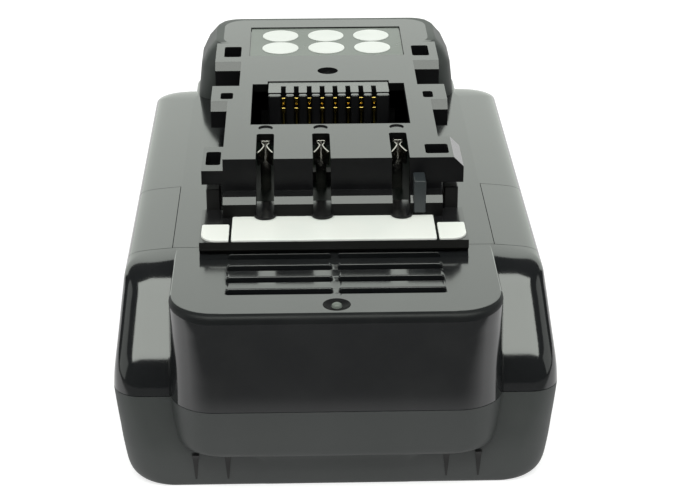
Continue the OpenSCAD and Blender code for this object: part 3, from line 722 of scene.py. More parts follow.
@dataclass
class UpperShell:
    """The upper half of the case: nose, deck and two side panels, cut from one skin."""

    form: CaseForm
    vents: Vents = field(default_factory=Vents)
    button_l: float = 22.2
    button_h: float = 9.2
    button_gap: float = 0.4
    board_half: tuple[float, float] = (12.0, 23.0)
    board_y: float = 15.0
    board_corner: float = 1.0
    latch_half: tuple[float, float] = (2.8, 2.9)
    latch_corner: float = 0.4
    latch_at: tuple[float, float] = (23.0, -21.0)
    dimple_y: float = -63.0
    dimple_wall: float = 0.4
    dish_r: tuple[float, ...] = (2.6, 2.45, 2.2, 1.9, 1.6, 1.3, 1.1, 1.0, 0.95, 0.87, 0.7, 0.48, 0.24, 0.0)
    dish_z: tuple[float, ...] = (0.0, -0.06, -0.18, -0.3, -0.4, -0.46, -0.48, -0.4, -0.15, 0.06, 0.2, 0.29,
                                 0.34, 0.35)
    nub_r: float = 0.98
    brow_y: float = -58.0
    brow_tilt: tuple[float, float] = (0.15, 0.99)
    flat_weight: int = 95

    def deck_holes(self) -> list[np.ndarray]:
        """Holes in the deck besides the louvres: board opening and the two latch slots.

        Returns:
            One outline per hole.
        """
        board = rounded_outline(*self.board_half, self.board_corner) + [0.0, self.board_y]
        latch = rounded_outline(*self.latch_half, self.latch_corner)
        x, y = self.latch_at
        return [board, *(latch + [side.value * x, y] for side in Side)]

    def dimple(self, z: float) -> tuple[np.ndarray, np.ndarray, np.ndarray]:
        """Round dimple with a nub in the front of the deck, a profile turned about its axis.

        Args:
            z: height of the deck.

        Returns:
            Its outline, vertices and quads.
        """
        radius, rise = np.array(self.dish_r)[:, None], np.array(self.dish_z)[:, None]
        turn = full_turn(36)
        x = radius * np.cos(turn)
        y = self.dimple_y + radius * np.sin(turn)
        verts = np.stack([x, y, z + rise + 0 * x], axis=-1)
        return verts[0, :, :2], verts.reshape(-1, 3), grid_faces(len(radius), len(turn))

    def on_shaded_brow(self, centre: np.ndarray, normal: np.ndarray) -> np.ndarray:
        """Says which faces round over from the nose's top to its front, where a duller copy of the case
        finish paints shade in place of the highlight.

        Args:
            centre: face centres in millimetres.
            normal: face normals.

        Returns:
            Mask of faces.
        """
        steep, flat = self.brow_tilt
        front = (np.abs(centre[:, 0]) < self.form.box_half) & (centre[:, 1] < self.brow_y)
        return front & (normal[:, 2] > steep) & (normal[:, 2] < flat)

    def in_nub_highlight(self, centre: np.ndarray, normal: np.ndarray) -> np.ndarray:
        """Mask of the dimple's faces that belong to its nub, all within a radius of its middle, which get a
        light grey painted highlight.
        """
        return np.hypot(centre[:, 0], centre[:, 1] - self.dimple_y) < self.nub_r

    def skin(self) -> bpy.types.Mesh:
        """The whole outer skin: wall rings, a flat band at the deck's edge and the deck plate.

        The dish of the dimple goes into the plate's round hole as a piece of its own.

        Returns:
            The skin without a wall.
        """
        z = self.form.deck_z
        parts = MeshParts()
        inner = self.form.wall(self.form.upper_levels(), parts)
        rims = [offset_outline(o, -self.vents.lip) for o in self.vents.outlines()]
        ring, dish, dish_faces = self.dimple(z)
        plate, faces = plate_with_holes(inner, [*rims, *self.deck_holes(), ring], z)
        parts.add(plate, faces)
        for outline in self.vents.outlines():
            parts.add(*swept_rim(outline, self.vents.rim(z)))
        parts_dish = MeshParts()
        parts_dish.add(dish, dish_faces)
        dish_mesh = parts_dish.mesh("nose_dimple", sharp=TURNED_CRISP)
        # The dish gets the darker satin finish, a painted shade in the hollow.
        dimple = place("nose_dimple", dish_mesh, BLOCK_SHADED_SATIN, Body.CASE)
        # The nub's light grey is a painted highlight.
        pick_faces(dimple.data, (LABEL_GREY_AND_NUB_HIGHLIGHT, self.in_nub_highlight))
        thicken(dimple, self.dimple_wall)
        return parts.mesh("upper_skin")

    def build(self) -> None:
        """Cuts the skin into nose, deck and panels and gives each its thickness."""
        form = self.form
        half_gap = form.seam / 2
        work = bmesh.new()
        work.from_mesh(self.skin())
        lines = [(1, form.nose_y), (1, form.panel_rear_y), (0, form.box_half), (0, -form.box_half),
                 (2, form.panel_z)]
        cuts = [(axis, at + d) for axis, at in lines for d in (-half_gap, half_gap)]
        grow = self.button_gap
        cuts += [(1, BUTTON_Y + s * (self.button_l / 2 + grow)) for s in (-1, 1)]
        cuts += [(2, BUTTON_Z + s * (self.button_h / 2 + grow)) for s in (-1, 1)]
        for axis, at in cuts:
            normal, point = Vector((0, 0, 0)), Vector((0, 0, 0))
            normal[axis], point[axis] = 1.0, at * MM
            geom = work.verts[:] + work.edges[:] + work.faces[:]
            bmesh.ops.bisect_plane(work, geom=geom, plane_co=point, plane_no=normal, dist=SAME_POINT)
        work.normal_update()
        centres = np.array([f.calc_center_median() for f in work.faces]) / MM
        pieces = self.sort_faces(centres)
        whole = bpy.data.meshes.new("upper_cut")
        work.to_mesh(whole)
        work.free()
        for name, mask in pieces.items():
            mesh = self.keep_faces(whole, mask, name)
            piece = place(name, mesh, CHARCOAL, Body.CASE, name)
            if name == "nose_cap":
                # The brow rounding gets the dull copy, a painted shade.
                pick_faces(mesh, (BROW_SHADED_SATIN, self.on_shaded_brow))
            thicken(piece, form.skin)
            even_normals(piece, self.flat_weight)

    def sort_faces(self, c: np.ndarray) -> dict[str, np.ndarray]:
        """Says which cut face belongs to which piece, leaving out seams and button holes.

        Args:
            c: face centres in millimetres.

        Returns:
            Node name to mask of faces.
        """
        form, half = self.form, self.form.seam / 2
        x, y, z = np.abs(c[:, 0]), c[:, 1], c[:, 2]
        nose = y < form.nose_y - half
        behind = y > form.nose_y + half
        outer, above, rear = x - form.box_half, z - form.panel_z, y - form.panel_rear_y
        near = (outer > -half) & (above > -half) & (rear < half) & behind
        panel = (outer > half) & (above > half) & (rear < -half) & behind
        hole = (np.abs(y - BUTTON_Y) < self.button_l / 2 + self.button_gap) & \
            (np.abs(z - BUTTON_Z) < self.button_h / 2 + self.button_gap) & (x > form.box_half)
        panel &= ~hole
        return {
            "nose_cap": nose, "upper_case": behind & ~near,
            "panel_left": panel & (c[:, 0] < 0), "panel_right": panel & (c[:, 0] > 0),
        }

    @staticmethod
    def keep_faces(whole: bpy.types.Mesh, mask: np.ndarray, name: str) -> bpy.types.Mesh:
        """Copies some faces of a mesh.

        Args:
            whole: the mesh.
            mask: which faces to keep.
            name: name of the copy.

        Returns:
            The copy.
        """
        work = bmesh.new()
        work.from_mesh(whole)
        work.faces.ensure_lookup_table()
        gone = [work.faces[i] for i in np.flatnonzero(~mask)]
        bmesh.ops.delete(work, geom=gone, context="FACES")
        mesh = bpy.data.meshes.new(name)
        work.to_mesh(mesh)
        work.free()
        finish_shading(mesh, CRISP_ANGLE)
        return mesh


FacePick = Callable[[np.ndarray, np.ndarray], np.ndarray]


def upright(centre: np.ndarray, normal: np.ndarray) -> np.ndarray:
    """Mask of the faces that stand upright or look down, which get the darker painted shade."""
    return normal[:, 2] < 0.5


def pick_faces(mesh: bpy.types.Mesh, *picks: tuple[Finish, FacePick]) -> None:
    """Gives some faces of a moulding finishes of their own, the later ones over the earlier.

    Args:
        mesh: the moulding, with its first finish in place.
        picks: further finishes, each with what says which faces it goes on.
    """
    flat_normal, flat_centre = np.zeros(3 * len(mesh.polygons)), np.zeros(3 * len(mesh.polygons))
    mesh.polygons.foreach_get("normal", flat_normal)
    mesh.polygons.foreach_get("center", flat_centre)
    normal, centre = flat_normal.reshape(-1, 3), flat_centre.reshape(-1, 3) / MM
    index = np.zeros(len(mesh.polygons), dtype=np.int32)
    for number, (finish, pick) in enumerate(picks, start=1):
        mesh.materials.append(finish.material())
        index[pick(centre, normal)] = number
    mesh.polygons.foreach_set("material_index", index)


def thicken(piece: bpy.types.Object, depth: float) -> None:
    """Gives a skin its wall, inwards from the outer face, with a crisp edge all round its rim.

    Args:
        piece: the skin.
        depth: wall thickness in millimetres.
    """
    mesh = piece.data
    used = np.zeros(len(mesh.loops), dtype=np.int32)
    mesh.loops.foreach_get("edge_index", used)
    rim = np.bincount(used, minlength=len(mesh.edges)) == 1
    crisp = mesh.attributes.get("sharp_edge") or mesh.attributes.new("sharp_edge", "BOOLEAN", "EDGE")
    sharp = np.zeros(len(mesh.edges), dtype=bool)
    crisp.data.foreach_get("value", sharp)
    crisp.data.foreach_set("value", sharp | rim)
    wall = piece.modifiers.new("wall", "SOLIDIFY")
    wall.thickness = depth * MM
    wall.offset = -1.0
    wall.use_even_offset = False
    wall.use_quality_normals = True


@dataclass
class LowerShell:
    """The lower half of the case, with the screw wells and the dark painted shadow strips beside its gussets
    under the front box.
    """

    form: CaseForm
    well_r: float = 3.1
    well_depth: float = 3.6
    well_edge: float = 0.12
    shadow_x: tuple[float, float] = (20.8, 26.9)
    shadow_w: float = 1.3
    shadow_z: tuple[float, float] = (6.9, 1.6)
    shadow_share: tuple[float, float] = (0.5, 0.12)
    shadow_proud: float = 0.05
    shadow_depth: float = 0.5
    shadow_steps: int = 16

    def build(self) -> None:
        """Makes the outer wall, the floor with its screw wells and the painted shadow strips beside the
        gussets.
        """
        parts = MeshParts()
        inner = self.form.wall(self.form.lower_levels(), parts, flip=True)
        turn = full_turn(40)
        round_hole = self.well_r * np.column_stack([np.cos(turn), np.sin(turn)])
        holes = [round_hole + centre for centre in SCREW_PLACES]
        plate, faces = plate_with_holes(inner, holes, 0.0)
        parts.add(plate, faces, flip=True)
        edge = self.well_edge
        rim = np.array([[0.0, 0.0], [edge, edge], [edge, self.well_depth]])
        for hole in holes:
            parts.add(*swept_rim(hole, rim), flip=True)
        piece = place("lower_case", parts.mesh("lower_case"), LOWER_SATIN, Body.CASE, "lower_case")
        thicken(piece, self.form.skin)
        for side in Side:
            self.shadow_strips(side)

    def shadow_strips(self, side: Side) -> None:
        """Two dark strips beside a gusset on the shell's front that narrow downwards, a painted shadow.

        The half width of a strip runs evenly to a quarter from its top to its foot, and its
        face follows the shell's own front, a hair proud of it.

        Args:
            side: which gusset.
        """
        rows = bspline(self.form.lower_levels(), SPAN_STEPS)[::-1]
        z = np.linspace(*self.shadow_z, self.shadow_steps)[:, None]
        front = np.interp(z, rows[:, 0], np.maximum(rows[:, 2], rows[:, 6])) + self.shadow_proud
        half = np.linspace(*self.shadow_share, self.shadow_steps)[:, None] * self.shadow_w
        across = np.linspace(-1.0, 1.0, 5)[None, :]
        parts = MeshParts()
        for at in self.shadow_x:
            x = side.value * at + half * across
            verts = np.stack([x, -front + 0 * x, z + 0 * x], axis=-1)
            parts.add(verts.reshape(-1, 3), grid_faces(len(z), across.size, False), flip=True)
        name = f"gusset_slits_{side.word}"
        thicken(place(name, parts.mesh(name), INNER_BLACK_AND_SHADE, Body.CASE), self.shadow_depth)


# The contact block and what is on it


@dataclass
class ContactBlock:
    """The block with the rail lugs: the CAD solid with its edges broken, as a moulding has them."""

    edge: float = 0.22
    slot_half: float = 1.85
    slot_front: float = -29.2
    slot_top: float = 50.9
    hood_y: float = 48.4
    hood_x: float = 23.8
    wall_y: float = 46.5
    lug_shadow_x: float = 24.4
    rim_ring: float = 50.6
    rim_z: float = 51.2
    rim_rear: float = 65.5
    rim_back: float = 0.45
    ledge_y: float = -39.0
    foot_z: float = 38.2
    undercut: float = 1.0
    ring_reach: float = 0.15
    facing: float = -0.3
    ledge_facing: float = -0.2
    shell_tilt: tuple[float, float] = (-0.199, 0.999)

    def build(self) -> None:
        """Copies the CAD block, joins its triangles, rounds its edges and dresses its faces."""
        mesh = broken_edges("contact_block", self.edge, self.reshaped)
        self.split_wall_at_lug_shadow(mesh)
        piece = place("contact_block", mesh, BLOCK_BLACK, Body.CASE, "contact_block")
        even_normals(piece)
        # The block plastic carries painted light and shade: a darker copy on upright faces, near-black in the
        # slots, lighter copies on the hood shell and the ledge front.
        pick_faces(mesh, (BLOCK_SHADED_SATIN, upright), (SLOT_PAINTED_SHADE, self.in_shaded_slot), (HOOD_LIT_SATIN, self.on_lit_hood),
                   (LEDGE_LIT_SATIN, self.on_lit_ledge))

    def split_wall_at_lug_shadow(self, mesh: bpy.types.Mesh) -> None:
        """Cuts the hood's front wall beside the rear lugs, so that the hood's painted light goes only on its
        open part and the part under the lugs stays dark as a painted shadow of the lugs.

        Args:
            mesh: the block.
        """
        work = bmesh.new()
        work.from_mesh(mesh)
        for side in Side:
            faces = [f for f in work.faces
                     if f.calc_center_median().y > self.wall_y * MM and f.normal.y < self.facing]
            edges, verts = {e for f in faces for e in f.edges}, {v for f in faces for v in f.verts}
            bmesh.ops.bisect_plane(work, geom=[*verts, *edges, *faces], dist=SAME_POINT,
                                   plane_no=(1.0, 0.0, 0.0),
                                   plane_co=(side.value * self.lug_shadow_x * MM, 0.0, 0.0))
        work.to_mesh(mesh)
        work.free()

    def reshaped(self, at: np.ndarray) -> np.ndarray:
        """Draws the hood's second ring up and back into a flat rim, and undercuts the front ledge.

        Args:
            at: vertices in millimetres.

        Returns:
            The moved vertices.
        """
        ring = (np.abs(at[:, 2] - self.rim_ring) < self.ring_reach) & (at[:, 1] > self.hood_y)
        moved = at.copy()
        moved[ring, 2] = self.rim_z
        moved[ring & (at[:, 1] > self.rim_rear), 1] += self.rim_back
        moved[(at[:, 1] < self.ledge_y) & (at[:, 2] < self.foot_z), 1] += self.undercut
        return moved

    def on_lit_ledge(self, centre: np.ndarray, normal: np.ndarray) -> np.ndarray:
        """Mask of the faces on the front of the ledge, below the white bar, which get the lighter painted
        light.
        """
        return (centre[:, 1] < self.ledge_y) & (normal[:, 1] < self.ledge_facing)

    def on_lit_hood(self, centre: np.ndarray, normal: np.ndarray) -> np.ndarray:
        """Says which faces are the hood's rounded shell and the open part of its front wall beside the rear
        lugs, which get the lighter painted light.

        Args:
            centre: face centres in millimetres.
            normal: face normals.

        Returns:
            Mask of faces.
        """
        wide, y, faces_y = np.abs(centre[:, 0]), centre[:, 1], normal[:, 1]
        round_top = (wide > self.hood_x) | (y > self.rim_rear)
        shell = (y > self.hood_y) & (faces_y > self.facing) & round_top
        wall = (y > self.wall_y) & (faces_y < self.facing) & (wide > self.lug_shadow_x)
        low, high = self.shell_tilt
        return (shell | wall) & (normal[:, 2] > low) & (normal[:, 2] < high)

    def in_shaded_slot(self, centre: np.ndarray, normal: np.ndarray) -> np.ndarray:
        """Mask of the faces that lie inside a terminal slot, where the near-black matte finish paints the
        shade.
        """
        aside = np.abs(centre[:, :1] - np.array(SLOT_X)).min(axis=1)
        return (aside < self.slot_half) & (centre[:, 1] > self.slot_front) & (centre[:, 2] < self.slot_top)


def broken_edges(node: str, edge: float,
                 reshape: Callable[[np.ndarray], np.ndarray] | None = None) -> bpy.types.Mesh:
    """Copy of a CAD node with flat faces joined and its crisp edges rounded.

    Args:
        node: the CAD node.
        edge: radius of the rounding in millimetres.
        reshape: moves the copy's vertices, in millimetres, before the rounding.

    Returns:
        The mesh.
    """
    work = bmesh.new()
    work.from_mesh(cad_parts[node].data)
    bmesh.ops.remove_doubles(work, verts=work.verts, dist=JOIN_REACH * MM)
    if reshape is not None:
        moved = reshape(np.array([v.co for v in work.verts]) / MM) * MM
        for vert, co in zip(work.verts, moved):
            vert.co = co
    bmesh.ops.dissolve_limit(work, angle_limit=math.radians(FLAT_ANGLE), verts=work.verts, edges=work.edges)
    limit = math.radians(ROUND_FROM)
    sharp = [e for e in work.edges if e.is_manifold and e.calc_face_angle(0.0) > limit]
    bmesh.ops.bevel(work, geom=sharp, offset=edge * MM, offset_type="OFFSET", segments=ROUND_STEPS,
                    profile=0.5, affect="EDGES", clamp_overlap=True)
    mesh = bpy.data.meshes.new(node)
    work.to_mesh(mesh)
    work.free()
    finish_shading(mesh, ROUND_CRISP)
    return mesh


def even_normals(piece: bpy.types.Object, weight: int = 100) -> None:
    """Lets the large flat faces of a piece decide the shading next to its rounded edges.

    Args:
        piece: the piece.
        weight: how much the larger faces count, 50 for by area alone.
    """
    level = piece.modifiers.new("even_normals", "WEIGHTED_NORMAL")
    level.mode = "FACE_AREA"
    level.weight = weight
    level.keep_sharp = True


@dataclass
class SlideStrip:
    """White low-friction bar on the front ledge with a pad in front of each rail groove."""

    low: float = 40.5
    top: float = 40.9
    front: float = -40.45
    rear: float = -29.0
    bar_half: float = 20.0
    pad_x: tuple[float, float] = (20.5, 25.9)
    pad_l: float = 7.7
    pad_r: float = 3.0
    corner: float = 0.4
    edge: float = 0.18

    def build(self) -> None:
        """Makes the bar and both pads as slabs with rounded rims."""
        parts = MeshParts()
        bar = rounded_outline(self.bar_half, (self.rear - self.front) / 2, self.corner)
        slab(parts, bar + [0.0, (self.rear + self.front) / 2], self.low, self.top, self.edge)
        for side in Side:
            slab(parts, self.pad_outline(side), self.low, self.top, self.edge)
        place("slide_strip", parts.mesh("slide_strip"), SLIDE_WHITE, Body.CASE, "slide_strip")

    def pad_outline(self, side: Side) -> np.ndarray:
        """Plan of an end pad, a rectangle whose outer front corner is a large quarter round.

        Args:
            side: which of the two.

        Returns:
            Points anticlockwise.
        """
        (x0, x1), r, e = self.pad_x, self.pad_r, self.corner
        centres = np.array([[x1 - r, self.front + r], [x1 - e, self.front + self.pad_l - e],
                            [x0 + e, self.front + self.pad_l - e], [x0 + e, self.front + e]])
        radii = np.array([r, e, e, e])
        turn = np.linspace(0.0, np.pi / 2, 9)[None, :] + (np.arange(4)[:, None] - 1) * np.pi / 2
        x = centres[:, :1] + radii[:, None] * np.cos(turn)
        y = centres[:, 1:] + radii[:, None] * np.sin(turn)
        loop = np.stack([x.ravel(), y.ravel()], axis=1)
        return loop if side is Side.RIGHT else loop[::-1] * [-1.0, 1.0]


def slab(parts: MeshParts, outline: np.ndarray, low: float, top: float, edge: float) -> None:
    """Adds one slab: a wall, a quarter round and a flat top with a flat bottom.

    Args:
        parts: where it is added.
        outline: its plan, anticlockwise.
        low: height of its bottom.
        top: height of its top.
        edge: radius of the quarter round.
    """
    turn = np.linspace(0.0, np.pi / 2, 6)
    rim = np.column_stack([edge * (1 - np.cos(turn)), top - edge + edge * np.sin(turn)])
    inset = edge + 0.1
    profile = np.vstack([[[0.0, low]], rim, [[inset, top]]])
    parts.add(*swept_rim(outline, profile))
    last = np.column_stack([offset_outline(outline, inset), np.full(len(outline), top)])
    parts.add(last, disc_face(len(outline)))
    base = np.column_stack([outline, np.full(len(outline), low)])
    parts.add(base, disc_face(len(outline)), flip=True)


@dataclass
class Terminals:
    """Three fork terminals in the slots: a foot plate and two springy leaves that pinch and flare."""

    names: tuple[str, str, str] = ("terminal_positive", "terminal_signal", "terminal_negative")
    rear: float = -11.9
    foot_t: float = 0.9
    pinch: float = -14.7
    tip: float = -18.5
    root: float = 0.75
    nip: float = 0.15
    flare: float = 1.42
    low: float = 39.5
    top: float = 50.3
    leaf_h: float = 3.6
    leaf_t: float = 0.24
    undercut: float = 0.3
    root_slim: float = 0.9
    root_run: float = 1.0
    nip_run: float = 0.5
    half_flare: float = 0.45
    foot_wing: float = 0.35
    foot_corner: float = 0.2
    foot_edge: float = 0.15

    def build(self) -> None:
        """Makes the terminals, each riding on the case in place of its CAD node."""
        for name, at in zip(self.names, SLOT_X):
            self.terminal(name, at)

    def terminal(self, name: str, at: float) -> None:
        """One terminal: leaves as sheets along a plan curve, each with its front end cut back below.

        A point of a leaf lies at the plan curve's place for its first parameter and between the
        leaf's top and bottom for its second, which also draws it back towards the foot.

        Args:
            name: the CAD node it stands for.
            at: X of its slot.
        """
        plan = bspline(np.array([
            [self.root, self.rear], [self.root * self.root_slim, self.rear - self.root_run],
            [self.nip, self.pinch + self.nip_run], [self.nip, self.pinch],
            [self.flare * self.half_flare, (self.pinch + self.tip) / 2], [self.flare, self.tip],
        ]), 5)
        drop = np.linspace(0.0, 1.0, 8)[None, :]
        back = 1.0 - self.undercut * drop
        y = self.rear + (plan[:, 1:] - self.rear) * back
        z = self.top - self.leaf_h * drop + 0 * y
        parts = MeshParts()
        for side in Side:
            x = at + side.value * plan[:, :1] + 0 * y
            parts.add(np.stack([x, y, z], axis=-1).reshape(-1, 3), grid_faces(len(plan), drop.size, False),
                      flip=side is Side.LEFT)
        leaves = place(f"{name}_leaves", parts.mesh(f"{name}_leaves"), TERMINAL_METAL, Body.CASE, name)
        thicken(leaves, self.leaf_t)
        foot = MeshParts()
        plate = rounded_outline(self.root + self.foot_wing, self.foot_t / 2, self.foot_corner, 4)
        slab(foot, plate + [at, self.rear + self.foot_t / 2], self.low, self.top, self.foot_edge)
        place(f"{name}_foot", foot.mesh(f"{name}_foot"), TERMINAL_METAL, Body.CASE)


@dataclass
class Connector:
    """Multi-pole connector in the well: a housing with a rounded lip and two rows of spring contacts."""

    half_w: float = 13.2
    front: float = 12.9
    lip_y: float = 14.45
    comb_y: float = 14.6
    notch_y: float = 18.8
    rear_y: float = 21.4
    notch: float = 1.05
    base: float = 39.5
    top: float = 51.2
    lip_top: float = 51.05
    count: int = 8
    pitch: float = 2.83
    low: float = 41.5
    rows: tuple[tuple[float, float], tuple[float, float]] = ((15.1, 49.9), (13.5, 48.2))
    half: float = 0.35
    stem: float = 0.2
    thick: float = 0.5
    head: float = 1.1
    lap: float = 0.1
    bar_edge: float = 0.1
    tooth_edge: float = 0.06
    tooth_lap: float = 0.12
    lip_edge: float = 0.3
    corner: float = 0.14

    def build(self) -> None:
        """Makes the housing as a comb with a lip along its front and the contacts as bent strips."""
        self.housing()
        parts = MeshParts()
        for i in range(self.count):
            at = (i - (self.count - 1) / 2) * self.pitch
            for y, top in self.rows:
                self.contact(parts, at, y, top)
        name = "connector_contacts"
        place(name, parts.mesh(name), CONTACT_GOLD, Body.CASE, name)

    def housing(self) -> None:
        """The housing: a bar with teeth between the contacts and a rounded lip piece before each tooth."""
        middle = (np.arange(self.count) - (self.count - 1) / 2) * self.pitch
        h, w = self.notch / 2, self.half_w
        edges = np.concatenate([[-w], np.column_stack([middle - h, middle + h]).ravel(), [w]]).reshape(-1, 2)
        parts = MeshParts()
        rows = ((self.notch_y, self.rear_y, self.top, self.bar_edge, [(-w, w)]),
                (self.comb_y, self.notch_y + self.tooth_lap, self.top, self.tooth_edge, edges),
                (self.front, self.lip_y, self.lip_top, self.lip_edge, edges))
        for near, far, top, edge, spans in rows:
            for low, high in spans:
                plan = rounded_outline((high - low) / 2, (far - near) / 2, edge + self.corner, 4)
                slab(parts, plan + [(low + high) / 2, (near + far) / 2], self.base, top, edge)
        name = "connector_housing"
        piece = place(name, parts.mesh(name), CONNECTOR_GREY, Body.CASE, name)
        # The housing's upright faces get the darker painted shade.
        pick_faces(piece.data, (BLOCK_SHADED_SATIN, upright))

    def contact(self, parts: MeshParts, at: float, y: float, top: float) -> None:
        """Adds one contact: an upright strip whose head is a half round bent over its top.

        Args:
            parts: where it is added.
            at: its X.
            y: Y of its middle.
            top: height of its head.
        """
        r = self.thick / 2
        turn = np.linspace(0.0, np.pi, 13)
        crown = np.column_stack([y - r * np.cos(turn), top - r + r * np.sin(turn)])
        neck = top - self.head
        over = neck + self.lap
        head = np.vstack([[[y - r, neck]], crown, [[y + r, neck]]])
        stem = np.array([[y - r, self.low], [y - r, over], [y + r, over], [y + r, self.low]])
        for half, ring in ((self.half, head), (self.stem, stem)):
            count = len(ring)
            verts = np.vstack([np.column_stack([np.full(count, at + d), ring]) for d in (-half, half)])
            parts.add(verts, grid_faces(2, count), flip=True)
            parts.add(verts[:count], disc_face(count))
            parts.add(verts[count:], disc_face(count), flip=True)


@dataclass
class ReleaseButton:
    """A squeeze button in a side panel: a pad that follows the case side, with upright grip ribs."""

    side: Side
    form: CaseForm
    half_l: float = 11.1
    half_h: float = 4.6
    round_over: float = 0.7
    ribs: int = 7
    rib_step: float = 2.4
    rib_w: float = 1.1
    rib_h: float = 0.45
    rib_inset: float = 1.1
    rib_fade: float = 0.6
    sunk: float = 0.1
    depth: float = 2.6
    along: tuple[float, float, int] = (0.06, 0.93, 150)
    upward: tuple[float, float, int] = (0.15, 0.84, 40)

    @staticmethod
    def samples(edge: float, flat: float, count: int) -> np.ndarray:
        """Places from -1 to 1: even ones out to a limit, and close ones in the round edge at each end."""
        rim = edge * spread(8)
        return np.concatenate([-1 + rim, np.linspace(-flat, flat, count), 1 - rim[::-1]])

    def build(self) -> None:
        """Makes the pad as a surface over the panel's opening and gives it its depth.

        Its reach is that of the case side at the same height, less a quarter round towards each
        edge, with a raised cosine over each rib's width in the middle of the pad.
        """
        levels = bspline(self.form.upper_levels(), SPAN_STEPS)
        u, v = self.samples(*self.along), self.samples(*self.upward)
        dy, dz = np.meshgrid(u * self.half_l, v * self.half_h, indexing="ij")
        z = BUTTON_Z + dz
        reach = np.interp(z, levels[:, 0], levels[:, 1]) - self.sunk
        inset = np.minimum(self.half_l - np.abs(dy), self.half_h - np.abs(dz))
        fall = np.clip(1.0 - inset / self.round_over, 0.0, 1.0)
        reach -= self.round_over * (1.0 - np.sqrt(1.0 - fall ** 2))
        nearest = np.round(dy / self.rib_step)
        near = np.abs(dy - nearest * self.rib_step) / (self.rib_w / 2)
        on_rib = (near < 1.0) & (np.abs(nearest) <= self.ribs // 2)
        rib = np.where(on_rib, 0.5 + 0.5 * np.cos(np.pi * near), 0.0)
        ends = np.clip((self.half_h - self.rib_inset - np.abs(dz)) / self.rib_fade, 0.0, 1.0)
        x = self.side.value * (reach + self.rib_h * rib * ends * ends * (3 - 2 * ends))
        name = f"release_button_{self.side.word}"
        parts = MeshParts()
        verts = np.stack([x, BUTTON_Y + dy, z], axis=-1).reshape(-1, 3)
        parts.add(verts, grid_faces(len(u), len(v), False), flip=self.side is Side.RIGHT)
        thicken(place(name, parts.mesh(name), BUTTON_BLACK, self.side.button_body, name), self.depth)


@dataclass
class ButtonSpring:
    """The coil behind a release button and the boss of the button that it bears on."""

    side: Side
    seat: float = 34.3
    length: float = 3.3
    travel: float = 2.0
    radius: float = 2.33
    wire: float = 0.25
    turns: float = 4.0
    flat: float = 0.4
    coil_steps: int = 97
    wire_steps: int = 12
    boss: tuple[tuple[float, float], ...] = (
        (39.7, 0.0), (39.7, 3.0), (38.0, 3.0), (37.7, 2.75), (37.66, 1.7), (37.0, 1.6), (36.85, 1.4),
        (36.85, 0.0))

    def build(self) -> None:
        """Makes the coil and the boss."""
        word = self.side.word
        parts = MeshParts()
        self.coil(parts)
        node = f"button_spring_{word}"
        spring = place(node, parts.mesh(node, sharp=TURNED_CRISP), STEEL, Body.CASE, node)
        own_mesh(spring)
        name = f"button_boss_{word}"
        turned = MeshParts()
        self.turned_boss(turned)
        place(name, turned.mesh(name), BUTTON_BLACK, self.side.button_body)

    def coil(self, parts: MeshParts) -> None:
        """Adds the wire: a circle carried round a helix whose first and last part of a turn lie flat.

        The circle lies in the plane of the helix's radius and its axis.

        Args:
            parts: where it is added.
        """
        turned = np.linspace(0.0, self.turns, self.coil_steps)
        angle, phase = 2 * np.pi * turned, full_turn(self.wire_steps)
        share = np.clip((turned - self.flat) / (self.turns - 2 * self.flat), 0.0, 1.0)
        along = self.seat + self.wire + share * (self.length - 2 * self.wire)
        x = self.side.value * (along[:, None] + self.wire * np.sin(phase))
        reach = self.radius + self.wire * np.cos(phase)
        y = BUTTON_Y + reach * np.cos(angle)[:, None]
        z = BUTTON_Z + reach * np.sin(angle)[:, None]
        verts = np.stack([x, y, z], axis=-1)
        right = self.side is Side.RIGHT
        parts.add(verts.reshape(-1, 3), grid_faces(len(angle), len(phase)), flip=right)
        parts.add(verts[0], disc_face(len(phase)), flip=not right)
        parts.add(verts[-1], disc_face(len(phase)), flip=right)

    def turned_boss(self, parts: MeshParts) -> None:
        """Adds the boss: its profile turned about the spring's axis.

        Args:
            parts: where it is added.
        """
        profile = np.array(self.boss)
        turn = full_turn(40)
        x = self.side.value * profile[:, :1] + 0 * turn
        y = BUTTON_Y + profile[:, 1:] * np.cos(turn)
        z = BUTTON_Z + profile[:, 1:] * np.sin(turn)
        verts = np.stack([x, y, z], axis=-1).reshape(-1, 3)
        parts.add(verts, grid_faces(len(profile), len(turn)), flip=self.side is Side.RIGHT)


@dataclass
class SmallParts:
    """The coding post and the latch hooks: CAD solids with their edges broken."""

    edge: float = 0.3

    def build(self) -> None:
        """Copies each solid, rounds its edges and dresses it."""
        self.copy("coding_post", POST_GREY, Body.CASE)
        for side in Side:
            self.copy(f"latch_{side.word}", INNER_BLACK_AND_SHADE, side.button_body)

    def copy(self, node: str, finish: Finish, body: Body) -> None:
        """Puts a dressed copy of one solid in its place."""
        even_normals(place(node, broken_edges(node, self.edge), finish, body, node))


